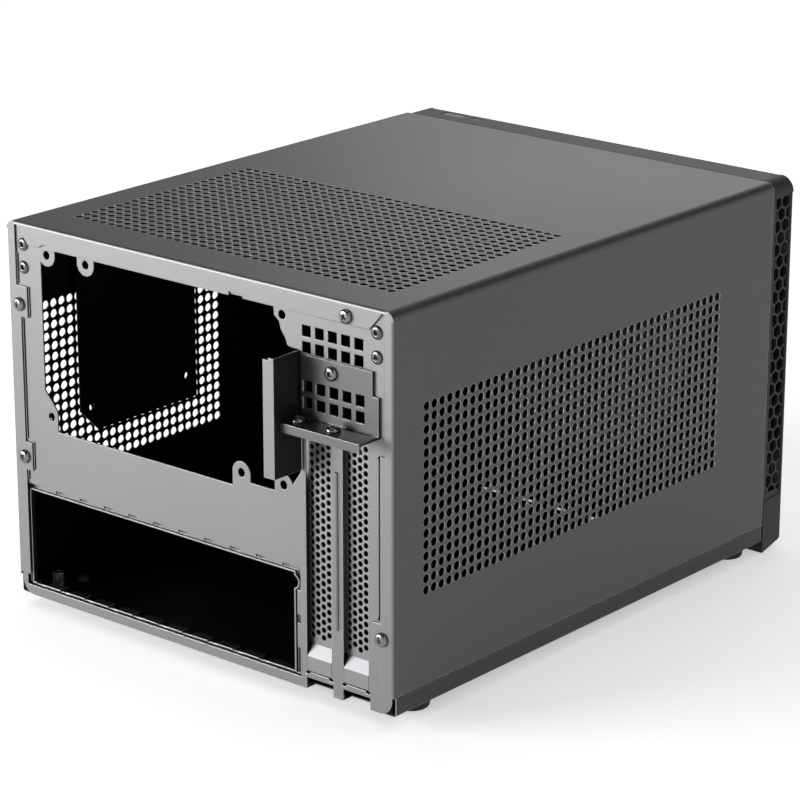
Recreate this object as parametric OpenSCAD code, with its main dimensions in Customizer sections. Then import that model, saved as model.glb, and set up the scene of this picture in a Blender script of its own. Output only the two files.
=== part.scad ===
/* [Case] */
// Width over the cover
case_w = 222; // [216:1:250]
// Height over the feet
case_h = 181; // [178:1:220]
// Depth from the face of the bezel to the back of the cover
case_d = 285; // [275:1:330]
// Thickness of the folded steel
sheet = 0.8; // [0.6:0.1:1.2]
// Outer radius of the cover's long bends
bend_r = 4; // [3:0.5:6]
// Height of the feet
foot_h = 6; // [4:0.5:9]
// Diameter of each foot
foot_d = 18; // [14:1:22]

/* [Perforation] */
// Distance from one round vent hole to the next
vent_pitch = 5; // [5:0.5:9]
// Diameter of the round vent holes
vent_d = 4; // [3:0.1:4.2]
// Width of the field of holes in the top
top_vent_w = 184; // [120:1:184]
// Length of the field of holes in the top
top_vent_l = 114; // [60:1:124]
// Distance from the rear edge to the top field
top_vent_from_rear = 22; // [18:1:34]
// Length of the field of holes in the card side
side_vent_l = 209; // [120:1:212]
// Length of the field of holes in the power supply side
far_vent_l = 114; // [80:1:212]
// Height of the field of holes in each side
side_vent_h = 84; // [60:1:90]
// Distance from the rear edge to the side field
side_vent_from_rear = 19; // [16:1:30]
// Height of the side field above the underside of the pan
side_vent_v = 49; // [44:1:56]

/* [Rear panel] */
// Width between the screw holes of the power supply
psu_hole_w = 138; // [137:0.5:139]
// Height between the screw holes of the power supply
psu_hole_h = 74; // [73:0.5:75]
// Diameter of the screw holes of the power supply
psu_hole_d = 4; // [3.6:0.1:4.4]
// Distance from the side of the case to the first power supply hole
psu_hole_u = 23.5; // [22.5:0.5:25]
// Distance from the top of the case to the upper power supply holes
psu_hole_drop = 12.5; // [12:0.5:14]
// Width of the connector aperture
io_w = 158.75; // [157:0.25:160]
// Height of the connector aperture
io_h = 44.45; // [43:0.25:46]
// Distance from the side of the case to the connector aperture
io_u = 7.5; // [6.5:0.5:8.5]
// Height of the connector aperture above the underside of the pan
io_v = 6.2; // [5.6:0.1:7]
// Distance from one expansion slot to the next
slot_pitch = 20.32; // [20:0.02:21]
// Distance from the side of the case to the middle of the first slot
slot_u = 180.6; // [179.6:0.2:182]
// Width of each slot opening
slot_w = 13.9; // [13:0.1:14.5]
// Side of the square vent holes
square_hole = 4.9; // [4:0.1:5.2]
// Distance from one square vent hole to the next
square_pitch = 7.05; // [6.8:0.05:7.3]
// How far the perforated slot covers lie behind the face of the rear panel
slot_set = 3; // [2.5:0.1:4]
// How far the guard flap stands out of the rear panel
guard_out = 16; // [12:0.5:20]

/* [Board and drive] */
// Width between the board's mounting holes
board_hole_w = 157.48; // [157:0.02:158]
// Depth between the board's mounting holes
board_hole_l = 154.94; // [154.5:0.02:155.5]
// Height of the stand-offs under the board
standoff_h = 6.5; // [6:0.5:8]
// Hole distance across a small drive
drive_hole_w = 61.72; // [61:0.02:62.5]
// Hole distance along a small drive
drive_hole_l = 76.6; // [76:0.1:77.5]
// Hole distance of the large fan
fan_pitch = 124.5; // [123:0.5:126]
// Hole distance of the small fan
small_fan_pitch = 105; // [104:0.5:106]
// Diameter of the fan opening
fan_open_d = 132; // [120:1:136]

/* [Bezel] */
// Depth of the bezel
bezel_d = 15.2; // [14.6:0.2:18]
// Wall of the bezel
bezel_t = 2.2; // [1.8:0.1:2.4]
// Radius of the bezel's upper corners
bezel_r = 7; // [5:0.5:9]
// Clearance of the bezel above the floor at the joint
bezel_clear = 0.6; // [0.4:0.1:2]
// Height of the bezel's lower front edge above the floor
bezel_chin = 5; // [3:0.5:5]
// Open joint between the cover and the bezel
joint_gap = 0.8; // [0.4:0.1:1.4]
// Width of each honeycomb cell across its flats
cell_w = 5.5; // [4.5:0.1:5.8]
// Web between the honeycomb cells
cell_web = 1; // [0.8:0.1:1.6]
// Length of the power button
power_l = 12.6; // [10:0.1:13]
// Length of the reset button
reset_l = 4; // [3:0.1:5]
// Width of both buttons
button_w = 4.8; // [4:0.1:5]
// Gap round each button
button_gap = 0.3; // [0.2:0.05:0.5]
// Travel of the buttons
button_travel = 0.8; // [0.5:0.1:1]

/* [Screws] */
// Head diameter of the cover screws
screw_head_d = 6.4; // [5.5:0.1:7]
// Thread diameter of the cover screws
screw_d = 3.4; // [3:0.1:3.6]

/* [Hidden] */
$fn = 32;

steel = [0.16, 0.16, 0.17];
dark_steel = [0.11, 0.11, 0.12];
plastic = [0.13, 0.13, 0.14];
nickel = [0.42, 0.42, 0.44];
plated = [0.55, 0.55, 0.56];
eps = 0.01;
// Distance kept between pieces that lie against each other
fit = 0.1;

// The overall box is centred on the origin: it reaches from the bezel's face to the guard flap
body_h = case_h - foot_h;
rear_y = (case_d - guard_out) / 2;
front_y = rear_y - case_d;
joint_y = front_y + bezel_d;
panel_y = rear_y - sheet - fit;
frame_y = joint_y + 0.6;
inner_w = case_w - 2 * sheet - 2 * fit;
top_z = case_h;
under_top = top_z - sheet - fit;
pan_y1 = panel_y - sheet - fit;

// A place on the rear face: u from the left as seen from behind, v above the pan's underside
function rear_x(u) = case_w / 2 - u;
function rear_z(v) = foot_h + v;

// Raises a flat outline drawn in u and v into a plate whose outer face lies at y
module on_rear(y, t) {
    translate([case_w / 2, y, foot_h]) rotate([90, 0, 0]) mirror([1, 0, 0])
        linear_extrude(t) children();
}

// A round hole or pin through the rear, from y inwards
module rear_bore(u, v, y, d, length) {
    translate([rear_x(u), y, rear_z(v)]) rotate([90, 0, 0]) cylinder(d = d, h = length);
}

// A box given by its lowest and highest corners
module box(a, b) {
    translate(a) cube(b - a);
}

module rounded_rect(w, h, r) {
    union() {
        translate([r, 0]) square([w - 2 * r, h]);
        translate([0, r]) square([w, h - 2 * r]);
        for (x = [r, w - r], y = [r, h - r]) translate([x, y]) circle(r);
    }
}

// The waste outside a quarter round, for rounding a sharp outer edge
module corner_waste(r) {
    difference() {
        translate([-1, -1]) square(r + 1);
        translate([r, r]) circle(r);
    }
}

// Rows of holes that fill a field and stay centred in it
module field(w, l, pitch) {
    nx = floor(w / pitch);
    ny = floor(l / pitch);
    for (i = [0:nx], j = [0:ny])
        translate([(i - nx / 2) * pitch, (j - ny / 2) * pitch, 0]) children();
}

/* Cover */
flange_h = 9.5;
side_flange_w = 4.7;
strip_h = 8.4;
strip_gap = 0.4;
cover_z0 = foot_h + strip_h + strip_gap;
edge_r = 1.2;
cover_screw_spots = [[197.2, body_h - 6], [6.5, 137.5], [6.5, 66.6], [case_w - 6.2, 33.9]];
rivet_drops = [10, 20.4];
rivet_in = 9.2;

module cover_outline() {
    translate([-case_w / 2, cover_z0]) square([case_w, case_h - cover_z0 - bend_r]);
    translate([-case_w / 2 + bend_r, case_h - 2 * bend_r])
        square([case_w - 2 * bend_r, 2 * bend_r]);
    for (s = [-1, 1]) translate([s * (case_w / 2 - bend_r), case_h - bend_r]) circle(bend_r);
}

module cover_inside() {
    r = bend_r - sheet;
    w = case_w - 2 * sheet;
    translate([-w / 2, cover_z0 - 1]) square([w, case_h - bend_r - cover_z0 + 1]);
    translate([-w / 2 + r, cover_z0]) square([w - 2 * r, case_h - sheet - cover_z0]);
    for (s = [-1, 1]) translate([s * (w / 2 - r), case_h - bend_r]) circle(r);
}

// The folded strips that lap over the rear panel, with their screw tabs
module cover_flanges() {
    top_v = body_h - flange_h;
    miter = 4.4;
    side_v = strip_h + strip_gap;
    difference() {
        union() {
            translate([0, top_v]) square([case_w, flange_h]);
            translate([0, side_v + 1.4]) square([side_flange_w, body_h - side_v - 1.4]);
            translate([0, side_v + 1.4]) square([7, 122]);
            translate([0, 131.8]) square([11.2, 14.2]);
            translate([0, 60.5]) square([11, 13]);
            translate([case_w - side_flange_w, 112]) square([side_flange_w, body_h - 112]);
            translate([case_w - 7, side_v + 1.4]) square([7, 103]);
            translate([case_w - 11.2, 27]) square([11.2, 13.5]);
        }
        // The mitred ends where the top strip meets the side strips
        for (s = [0, 1]) translate([s * case_w, 0]) mirror([s, 0])
            polygon([[side_flange_w, top_v - eps], [13, top_v - eps],
                [side_flange_w + miter * 0.3, body_h - 1.6], [side_flange_w, body_h - 1.6]]);
        // Clearance round the first power supply ear
        translate([psu_hole_u, body_h - psu_hole_drop - 0.3]) circle(5);
        translate([132.5, top_v - eps]) square([8, 1.6]);
    }
}

module cover() {
    color(steel) difference() {
        union() {
            translate([0, rear_y, 0]) rotate([90, 0, 0]) difference() {
                linear_extrude(rear_y - joint_y - joint_gap) cover_outline();
                translate([0, 0, -1]) linear_extrude(rear_y - joint_y + 2) cover_inside();
            }
            on_rear(rear_y, sheet) intersection() {
                cover_flanges();
                translate([case_w / 2, -foot_h]) cover_outline();
            }
        }
        // The bends along the rear edges
        for (s = [-1, 1]) {
            translate([s * case_w / 2, rear_y, cover_z0 - 1]) mirror([s > 0 ? 1 : 0, 0, 0])
                rotate([0, 0, -90]) linear_extrude(case_h - bend_r - cover_z0 + 1)
                corner_waste(edge_r);
        }
        translate([-case_w / 2 + bend_r, rear_y, case_h]) rotate([0, 90, 0])
            rotate([0, 0, -90]) linear_extrude(case_w - 2 * bend_r) corner_waste(edge_r);
        // Round vent holes in the top and in both sides
        translate([0, rear_y - top_vent_from_rear - top_vent_l / 2, top_z - 2 * sheet])
            field(top_vent_w, top_vent_l, vent_pitch) cylinder(d = vent_d, h = 3 * sheet);
        for (p = [[-1, side_vent_l], [1, far_vent_l]])
            translate([p[0] * case_w / 2 - 2 * sheet, rear_y - side_vent_from_rear - p[1] / 2,
                foot_h + side_vent_v + side_vent_h / 2]) rotate([90, 0, 90])
                field(p[1], side_vent_h, vent_pitch) cylinder(d = vent_d, h = 4 * sheet);
        for (p = cover_screw_spots) rear_bore(p[0], p[1], rear_y + 1, screw_d + 0.4, 3 * sheet);
    }
}

/* Chassis */
wall_up = 22;
pan_round = 1.4;
pan_inner = case_w / 2 - sheet - fit;
panel_edge = 1.6;

// Middle of the board's hole pattern, set from the connector aperture
board_x = rear_x(io_u + 4.2 + board_hole_w / 2);
board_y = pan_y1 - 1.2 - 10.16 - board_hole_l / 2;
boss_h = 1.4;

module pan_section() {
    half = case_w / 2;
    z1 = foot_h + sheet;
    polygon([
        [-half, foot_h], [half, foot_h], [half, foot_h + strip_h], [pan_inner, foot_h + strip_h],
        [pan_inner, foot_h + wall_up], [pan_inner - sheet, foot_h + wall_up],
        [pan_inner - sheet, foot_h + strip_h - sheet], [half - sheet, foot_h + strip_h - sheet],
        [half - sheet, z1], [-half + sheet, z1], [-half + sheet, foot_h + strip_h - sheet],
        [-pan_inner + sheet, foot_h + strip_h - sheet], [-pan_inner + sheet, foot_h + wall_up],
        [-pan_inner, foot_h + wall_up], [-pan_inner, foot_h + strip_h],
        [-half, foot_h + strip_h]]);
}

foot_in_x = 13;
foot_in_front = 11.5;
foot_in_rear = 26;
foot_spots = [for (s = [-1, 1], y = [joint_y + foot_in_front, panel_y - foot_in_rear])
    [s * (case_w / 2 - foot_in_x), y]];
standoff_spots = [for (i = [-1, 1], j = [-1, 1])
    [board_x + i * board_hole_w / 2, board_y + j * board_hole_l / 2]];

module base_pan() {
    color(steel) difference() {
        union() {
            translate([0, pan_y1, 0]) rotate([90, 0, 0])
                linear_extrude(pan_y1 - frame_y - sheet) pan_section();
            // Upturned edges against the rear panel and the front frame
            box([-pan_inner + 1, pan_y1 - sheet, foot_h], [pan_inner - 1, pan_y1, foot_h + 5]);
            box([-pan_inner + 1, frame_y + sheet, foot_h],
                [pan_inner - 1, frame_y + 2 * sheet, foot_h + 12]);
            // Raised pads under the stand-offs
            for (p = standoff_spots) translate([p[0], p[1], foot_h])
                cylinder(d1 = 17, d2 = 11, h = boss_h + sheet);
        }
        for (p = standoff_spots) translate([p[0], p[1], foot_h - eps]) {
            cylinder(d1 = 15.4, d2 = 9.4, h = boss_h);
            cylinder(d = 4.2, h = 10);
        }
        for (p = foot_spots) translate([p[0], p[1], foot_h - 1]) cylinder(d = 4.4, h = 4);
        for (s = [-1, 1]) translate([s * case_w / 2, pan_y1 + 1, foot_h])
            mirror([s > 0 ? 1 : 0, 0, 0]) rotate([90, 0, 0])
            linear_extrude(pan_y1 - frame_y + 2) corner_waste(pan_round);
        for (x = frame_rivet_xs) translate([x, frame_y - 1, frame_rivet_z]) rotate([-90, 0, 0])
            cylinder(d = 3.4, h = 4);
        // Notches below the slots, for the tongues of cards
        for (u = [slot_u, slot_u + slot_pitch])
            box([rear_x(u + 8), pan_y1 - 5, foot_h - 1], [rear_x(u - 7.4), pan_y1 + 1, foot_h + 7]);
        // Room for the channel of the connector aperture
        box([rear_x(io_u + io_w + ring_right + 1), pan_y1 - ring_deep, rear_z(io_v - ring_low - 1.1)],
            [rear_x(io_u - ring_w - 1), pan_y1 + 1, foot_h + 7]);
        // Long slots for cable ties
        for (i = [0:3]) box([-40 + i * 22, frame_y + 24, foot_h - 1],
            [-28 + i * 22, frame_y + 28, foot_h + 3]);
    }
}

// Height above the pan's underside of a place measured down from the top
function from_top(d) = body_h - d;

psu_top = from_top(9);
psu_floor = from_top(psu_hole_drop + psu_hole_h + 6.5);
psu_right = psu_hole_u + psu_hole_w;
psu_low = from_top(psu_hole_drop + psu_hole_h);
psu_high = from_top(psu_hole_drop);
guard_u = psu_right + 9.5;
guard_v = psu_low + 9;
guard_top = psu_high - 13;

// A rounded ear that hangs from or stands on a straight edge
module ear(u, v, to_v) {
    translate([u, v]) circle(5);
    translate([u - 5, min(v, to_v)]) square([10, abs(to_v - v)]);
}

// The outline of the power supply opening, with its ears left standing
module psu_opening() {
    difference() {
        translate([psu_hole_u - 3.8, psu_floor])
            square([guard_u - psu_hole_u + 3.8, psu_top - psu_floor]);
        ear(psu_hole_u, psu_high, psu_top + 1);
        translate([psu_hole_u - 5, psu_high]) square([5, 6]);
        ear(psu_hole_u + 24, psu_high, psu_top + 1);
        ear(psu_right - 24, psu_low, psu_floor - 1);
        // The stepped edge by the upper right hole
        polygon([[psu_right - 4.8, psu_top + 1], [psu_right - 4.2, psu_high - 1],
            [psu_right - 1.6, psu_high - 3], [psu_right - 0.6, psu_high - 6.4],
            [psu_right + 2, psu_high - 10], [psu_right + 2.8, psu_high - 12.4],
            [psu_right + 5, guard_top], [guard_u + 1, guard_top], [guard_u + 1, psu_top + 1]]);
        // The waved step by the lower left hole
        polygon([[psu_hole_u - 5, psu_low + 13], [psu_hole_u - 2, psu_low + 9.6],
            [psu_hole_u + 0.6, psu_low + 7], [psu_hole_u + 3.6, psu_low + 3],
            [psu_hole_u + 3.8, psu_floor - 1], [psu_hole_u - 5, psu_floor - 1]]);
        // The raised floor between the two lower right ears
        translate([psu_right - 19, psu_floor - 1]) square([30, 4]);
        ear(psu_right, psu_low, psu_floor - 1);
        polygon([[psu_right + 3, psu_low - 4], [psu_right + 4.8, psu_low + 1],
            [guard_u + 1, guard_v], [guard_u + 1, psu_floor - 1]]);
    }
}

window_n = 10;
window_pitch = 15.1;
window_l = 9.3;

ring_w = 3.2;
ring_right = 4.2;
ring_low = 1.5;
ring_deep = 3;
lip = 0.7;

// The connector aperture, with the round relief at its upper corner
module aperture(grow) {
    translate([io_u - grow, io_v - grow]) square([io_w + 2 * grow, io_h + 2 * grow]);
    translate([io_u + io_w - 0.6, io_v + io_h - 4.2]) circle(r = 2.9 + grow);
}

// The sunk channel round the aperture
module aperture_ring(grow) {
    u0 = io_u - ring_w - grow;
    v0 = io_v - ring_low - grow;
    w = io_w + ring_w + ring_right + 2 * grow;
    h = io_h + ring_low + ring_w + 2 * grow;
    translate([u0, v0]) square([w, h - 2]);
    translate([u0 + 2, v0]) square([w - 4, h]);
    for (u = [u0 + 2, u0 + w - 2]) translate([u, v0 + h - 2]) circle(r = 2);
}

// Tabs that stand in the channel, in the plane of the panel, above and beside the aperture
module aperture_tabs() {
    top = io_v + io_h + ring_w;
    right = io_u + io_w + ring_right;
    for (i = [0:window_n - 1])
        translate([io_u + 7.5 + i * window_pitch, top - 1.5]) square([window_l, 1.6]);
    for (v = [17.7, 32.6]) translate([right - 1.9, v]) square([2, 11]);
}

// The walls and floor of the channel, the lip that rises from it round the aperture, and the
// spring fingers that lie along the aperture's lower edge
module aperture_frame() {
    wall = 0.8;
    difference() {
        union() {
            on_rear(panel_y, ring_deep) difference() {
                aperture_ring(wall);
                aperture_ring(0);
            }
            on_rear(panel_y - ring_deep + wall, wall) aperture_ring(wall);
            on_rear(panel_y - 0.6, ring_deep - 0.6) aperture(lip);
        }
        on_rear(panel_y + 1, ring_deep + 3) aperture(0);
        // Gaps between the fingers
        for (i = [0:window_n - 1]) on_rear(panel_y - 0.4, ring_deep + 1)
            translate([io_u + 7.8 + i * window_pitch - window_pitch + window_l, io_v - 1])
                square([window_pitch - window_l, 2]);
    }
    for (i = [0:window_n - 1]) on_rear(panel_y - 0.6, 4.8)
        translate([io_u + 7.8 + i * window_pitch, io_v - lip]) square([window_l, lip]);
}

// Thin slots that show along the inner edges of the cover's side strip
module strip_slots() {
    for (p = [[5, 146.5, 1.1, 14], [11.6, 132, 1, 14], [7.4, 75, 1.1, 56], [7.4, 55.8, 1.1, 4.4],
        [11.4, 61, 1, 13]]) translate([p[0], p[1]]) square([p[2], p[3]]);
}

slot_v0 = 8;
slot_v1 = 120.5;
perf_v0 = 22;
clamp_v = 121.5;
clamp_u0 = 171.2;
clamp_u1 = 214.4;
square_u = 172.4;

module square_vents(rows, columns, v) {
    for (i = [0:columns - 1], j = [0:rows - 1])
        translate([square_u + i * square_pitch, v + j * square_pitch])
            square([square_hole, square_hole]);
}

module rear_panel() {
    edge = panel_edge;
    r = 6.5;
    color(steel) difference() {
        union() {
            on_rear(panel_y, sheet) difference() {
                translate([edge, 0.2]) rounded_rect(case_w - 2 * edge, body_h - edge - 0.2, r);
                psu_opening();
                difference() {
                    aperture_ring(0);
                    aperture_tabs();
                }
                strip_slots();
                for (i = [0, 1]) {
                    translate([slot_u + i * slot_pitch - slot_w / 2, slot_v0])
                        square([slot_w, slot_v1 - slot_v0]);
                    // Notches for the hooks of the slot covers
                    translate([slot_u + i * slot_pitch - slot_w / 2 - 0.8, slot_v0 - 1])
                        square([2.4, 1.1]);
                    translate([slot_u + i * slot_pitch + slot_w / 2 - 1.6, slot_v0 - 1])
                        square([2.4, 1.1]);
                    translate([slot_u + i * slot_pitch - 7.2, -1]) square([15, 6.4]);
                }
                square_vents(2, 5, from_top(26.4));
                // Room behind the clamp's own square holes
                translate([square_u + 1.4, clamp_v + 3]) square([33.4, 13.4]);
                translate([case_w - 8.6, 42]) square([1.2, 70]);
                for (v = [42, 112]) translate([case_w - 8, v]) circle(d = 2);
            }
            aperture_frame();
            // The guard flap turned out of the panel, with its own edge turned back
            guard_flap();
            // Embossed bead between the slots
            translate([rear_x(slot_u + slot_pitch / 2), panel_y, rear_z(32)]) difference() {
                union() {
                    cylinder(r = 1.1, h = 68);
                    for (z = [0, 68]) translate([0, 0, z]) sphere(r = 1.1);
                }
                box([-2, -2, -2], [2, -0.4, 71]);
            }
        }
        for (u = [psu_hole_u, psu_hole_u + 24, psu_right])
            rear_bore(u, psu_high, panel_y + 1, psu_hole_d, 4);
        for (u = [psu_hole_u, psu_right - 24, psu_right])
            rear_bore(u, psu_low, panel_y + 1, psu_hole_d, 4);
        for (p = cover_screw_spots) rear_bore(p[0], p[1], panel_y + 1, screw_d + 0.2, 4);
        for (s = [-1, 1], d = rivet_drops)
            translate([s * (case_w / 2 - rivet_in), panel_y + 1, top_z - d]) rotate([90, 0, 0])
                cylinder(d = 3.4, h = 4);
        rear_bore(clamp_screw_u, clamp_screw_v, panel_y + 1, screw_d + 0.2, 4);
    }
}

module guard_flap() {
    u0 = guard_u;
    y0 = panel_y - sheet;
    y1 = rear_y + guard_out;
    z0 = rear_z(guard_v);
    z1 = rear_z(guard_top);
    difference() {
        union() {
            box([rear_x(u0 + sheet), y0, z0], [rear_x(u0), y1, z1]);
            box([rear_x(u0 + sheet), y1 - sheet, z0], [rear_x(u0 - 5), y1, z1]);
        }
        // Rounded top corner of the turned edge
        translate([rear_x(u0 - 5), y1 + 1, z1]) rotate([90, 0, 0]) rotate([0, 0, 90])
            mirror([0, 0, 0]) linear_extrude(sheet + 2) mirror([1, 0])
            rotate([0, 0, 90]) corner_waste(3);
    }
}

clamp_screw_u = 189.6;
clamp_screw_v = 143.3;
shelf_out = 12;
shelf_screw_spots = [[clamp_u0 + 3.6, 5.6], [clamp_u0 + 22.6, 5.6]];

// The plate that holds the slot covers down: a standing leaf and a shelf with a lip
module slot_clamp() {
    y0 = panel_y + fit;
    y1 = y0 + 1.2;
    color(dark_steel) difference() {
        union() {
            on_rear(y1, 1.2) difference() {
                union() {
                    translate([guard_u + 1.6, clamp_v - 1.2]) square([38.6, 28.2]);
                    translate([guard_u + 1.6, clamp_v - 1.2])
                        square([clamp_u1 - guard_u - 1.6, 17.7]);
                }
                square_vents_clamp();
            }
            on_rear(y1 + shelf_out, shelf_out) translate([clamp_u0 + 0.8, clamp_v - 1.2])
                square([clamp_u1 - clamp_u0 - 0.8, 1.2]);
            on_rear(y1 + shelf_out, 1.2) translate([clamp_u0 + 0.8, clamp_v - 4])
                square([clamp_u1 - clamp_u0 - 0.8, 4]);
        }
        rear_bore(clamp_screw_u, clamp_screw_v, y1 + 1, screw_d + 0.3, 4);
        for (p = shelf_screw_spots) translate([rear_x(p[0] + 1.4), y1 + p[1], rear_z(clamp_v) - 3])
            cylinder(d = screw_d + 0.3, h = 6);
        // Slits along the fold
        for (u = [[178, 9], [197, 15]])
            box([rear_x(u[0] + u[1]), y1 - eps, rear_z(clamp_v) - 2],
                [rear_x(u[0]), y1 + 1.6, rear_z(clamp_v) + 1]);
    }
}

module square_vents_clamp() {
    for (i = [0:4], j = [0, 1])
        translate([square_u + 1.6 + i * square_pitch, clamp_v + 3.9 + j * square_pitch])
            square([square_hole, square_hole]);
}

cover_hole_pitch = 3.48;
cover_hole_step = 3.05;
cover_tab_v = clamp_v - 1.3;

// The side view of a slot cover: distance behind the panel's face, and height. From the top it
// is the screw tab, the sunk perforated part, the slope, the flat tail and the tongue.
function cover_profile(t) = let (d = slot_set, v = perf_v0)
    [[-9, cover_tab_v], [d + t, cover_tab_v], [d + t, v - 2.3], [t, v - 7.1], [t, slot_v0 + 0.9],
    [sheet + 0.1 + t, slot_v0 - 0.1], [sheet + 0.1 + t, 5.6], [sheet + 0.1, 5.6],
    [sheet + 0.1, slot_v0 - 0.4], [0, slot_v0 + 0.6], [0, v - 6.8], [d, v - 2],
    [d, cover_tab_v - t], [-9, cover_tab_v - t]];

// The front view of a slot cover, with the notch for its screw in the tab's edge
module cover_face(u) {
    w = slot_w - 0.4;
    translate([u - w / 2, slot_v0 + 0.3]) square([w, cover_tab_v]);
    translate([u - w / 2 - 2.2, perf_v0 - 1.4]) square([w + 4.4, cover_tab_v - perf_v0 - 1.6]);
    translate([u - 4, 5]) square([8, 10]);
}

// A perforated blanking plate that hooks behind the panel below and screws down above
module slot_cover(u) {
    y1 = panel_y + 1.2 + fit;
    color(plated) difference() {
        intersection() {
            translate([rear_x(u) - 12, 0, 0]) rotate([90, 0, 90]) linear_extrude(24)
                polygon([for (p = cover_profile(0.8)) [panel_y - p[0], rear_z(p[1])]]);
            on_rear(panel_y + 12, 24) cover_face(u);
        }
        on_rear(panel_y - slot_set + 0.5, 2) slot_cover_holes(u);
        // Open notch for the screw in the tab
        for (p = shelf_screw_spots) if (abs(p[0] + 1.4 - u) < 8)
            translate([rear_x(p[0] + 1.4), y1 + p[1], rear_z(cover_tab_v) - 3]) {
                cylinder(d = screw_d + 0.8, h = 6);
                translate([0, -(screw_d + 0.8) / 2, 0]) cube([8, screw_d + 0.8, 6]);
            }
    }
}

module slot_cover_holes(u) {
    columns = 5;
    rows = floor((cover_tab_v - perf_v0 - 4) / cover_hole_pitch);
    for (i = [0:columns - 1], j = [0:rows - 1])
        translate([u + (i - (columns - 1) / 2) * cover_hole_step,
            perf_v0 + 2 + (j + (i % 2) / 2) * cover_hole_pitch]) circle(d = 2.5);
}

module slot_cover_1() {
    slot_cover(slot_u);
}

module slot_cover_2() {
    slot_cover(slot_u + slot_pitch);
}

frame_w = inner_w - 2 * fit;
frame_rivet_xs = [for (k = [-1.5, -0.5, 0.5, 1.5]) k * frame_w / 4];
frame_rivet_z = foot_h + 8;
fan_z = foot_h + sheet + (body_h - 2 * sheet) / 2;

// The upright front wall with the fan opening and its edges turned back
module front_frame() {
    w = frame_w;
    z0 = foot_h + sheet + fit;
    z1 = under_top - fit;
    lip = 12;
    y0 = frame_y;
    color(steel) difference() {
        union() {
            box([-w / 2, y0, z0], [w / 2, y0 + sheet, z1]);
            box([-w / 2, y0, z1 - sheet], [w / 2, y0 + lip, z1]);
            for (s = [-1, 1]) translate([s * (w - sheet) / 2 - sheet / 2, y0, foot_h + wall_up + fit])
                cube([sheet, lip, z1 - foot_h - wall_up - fit]);
        }
        translate([0, y0 - 1, fan_z]) rotate([-90, 0, 0]) {
            cylinder(d = fan_open_d, h = 3 * sheet + 2, $fn = 96);
            for (i = [-1, 1], j = [-1, 1], d = [fan_pitch, small_fan_pitch])
                translate([i * d / 2, j * d / 2, 0]) cylinder(d = 4.6, h = 4);
        }
        // Rounded corners under the cover's long bends
        for (s = [-1, 1]) translate([s * w / 2, y0 - 1, z1]) mirror([s > 0 ? 1 : 0, 0, 0])
            rotate([-90, 0, 0]) linear_extrude(lip + 2) corner_waste(bend_r - 0.3);
        // Windows for the front cables and for the bezel's hooks
        for (s = [-1, 1], z = [foot_h + 30, top_z - 36])
            box([s * (w / 2 - 9) - 3, y0 - 1, z], [s * (w / 2 - 9) + 3, y0 + 2, z + 12]);
        box([w / 2 - 38, y0 - 1, foot_h + 15], [w / 2 - 14, y0 + 2, foot_h + 23]);
        for (x = frame_rivet_xs) translate([x, y0 - 1, frame_rivet_z]) rotate([-90, 0, 0])
            cylinder(d = 3.4, h = 4);
    }
}

rail_h = 16;
rail_w = 14;

// A top corner rail from the front frame to the rear panel; side is -1 or 1
module rail(side) {
    y0 = frame_y + sheet + fit;
    y1 = panel_y - sheet - fit;
    x = pan_inner - 2 * fit - sheet;
    z1 = under_top - sheet - 2 * fit;
    color(steel) mirror([side < 0 ? 1 : 0, 0, 0]) difference() {
        union() {
            box([x - sheet, y0, z1 - rail_h], [x, y1, z1]);
            box([x - rail_w, y0, z1 - sheet], [x, y1, z1]);
            box([x - rail_w, y1 - sheet, z1 - rail_h - 6], [x, y1, z1]);
            box([x - rail_w, y0, z1 - rail_h], [x, y0 + sheet, z1]);
        }
        for (d = rivet_drops) translate([case_w / 2 - rivet_in, y1 + 1, top_z - d])
            rotate([90, 0, 0]) cylinder(d = 3.4, h = 4);
        for (y = brace_screw_ys) translate([x - rail_w / 2, y, z1 - 3]) cylinder(d = 3.6, h = 6);
    }
}

module rail_left() {
    rail(-1);
}

module rail_right() {
    rail(1);
}

brace_from_rear = 166;
brace_l = 34;
brace_y = panel_y - brace_from_rear;
drive_from_rear = 37;
plate_l = 76;
plate_h = 100;
plate_drop = 21;
drive_y = panel_y - drive_from_rear - plate_l / 2;
brace_screw_ys = [brace_y - brace_l / 2, drive_y - 26, drive_y + 26];
rail_under = under_top - 2 * sheet - 2 * fit;

// The bridge between the rails in front of the power supply
module cross_brace() {
    half = pan_inner - 2 * sheet - 3 * fit;
    z1 = rail_under - fit;
    x = pan_inner - 2 * fit - sheet - rail_w / 2;
    color(steel) difference() {
        union() {
            box([-half, brace_y - brace_l, z1 - sheet], [half, brace_y, z1]);
            for (y = [brace_y - brace_l, brace_y - sheet])
                box([-half, y, z1 - 9], [half, y + sheet, z1]);
        }
        for (s = [-1, 1]) translate([s * x, brace_y - brace_l / 2, z1 - 3])
            cylinder(d = 3.6, h = 6);
        // Long ventilation slots
        for (i = [-3:3]) translate([i * 22, brace_y - brace_l / 2, z1 - 3]) {
            translate([-7, -6, 0]) cube([14, 12, 6]);
            for (s = [-1, 1]) translate([7 * s, 0, 0]) cylinder(d = 12, h = 6);
        }
    }
}

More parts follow.
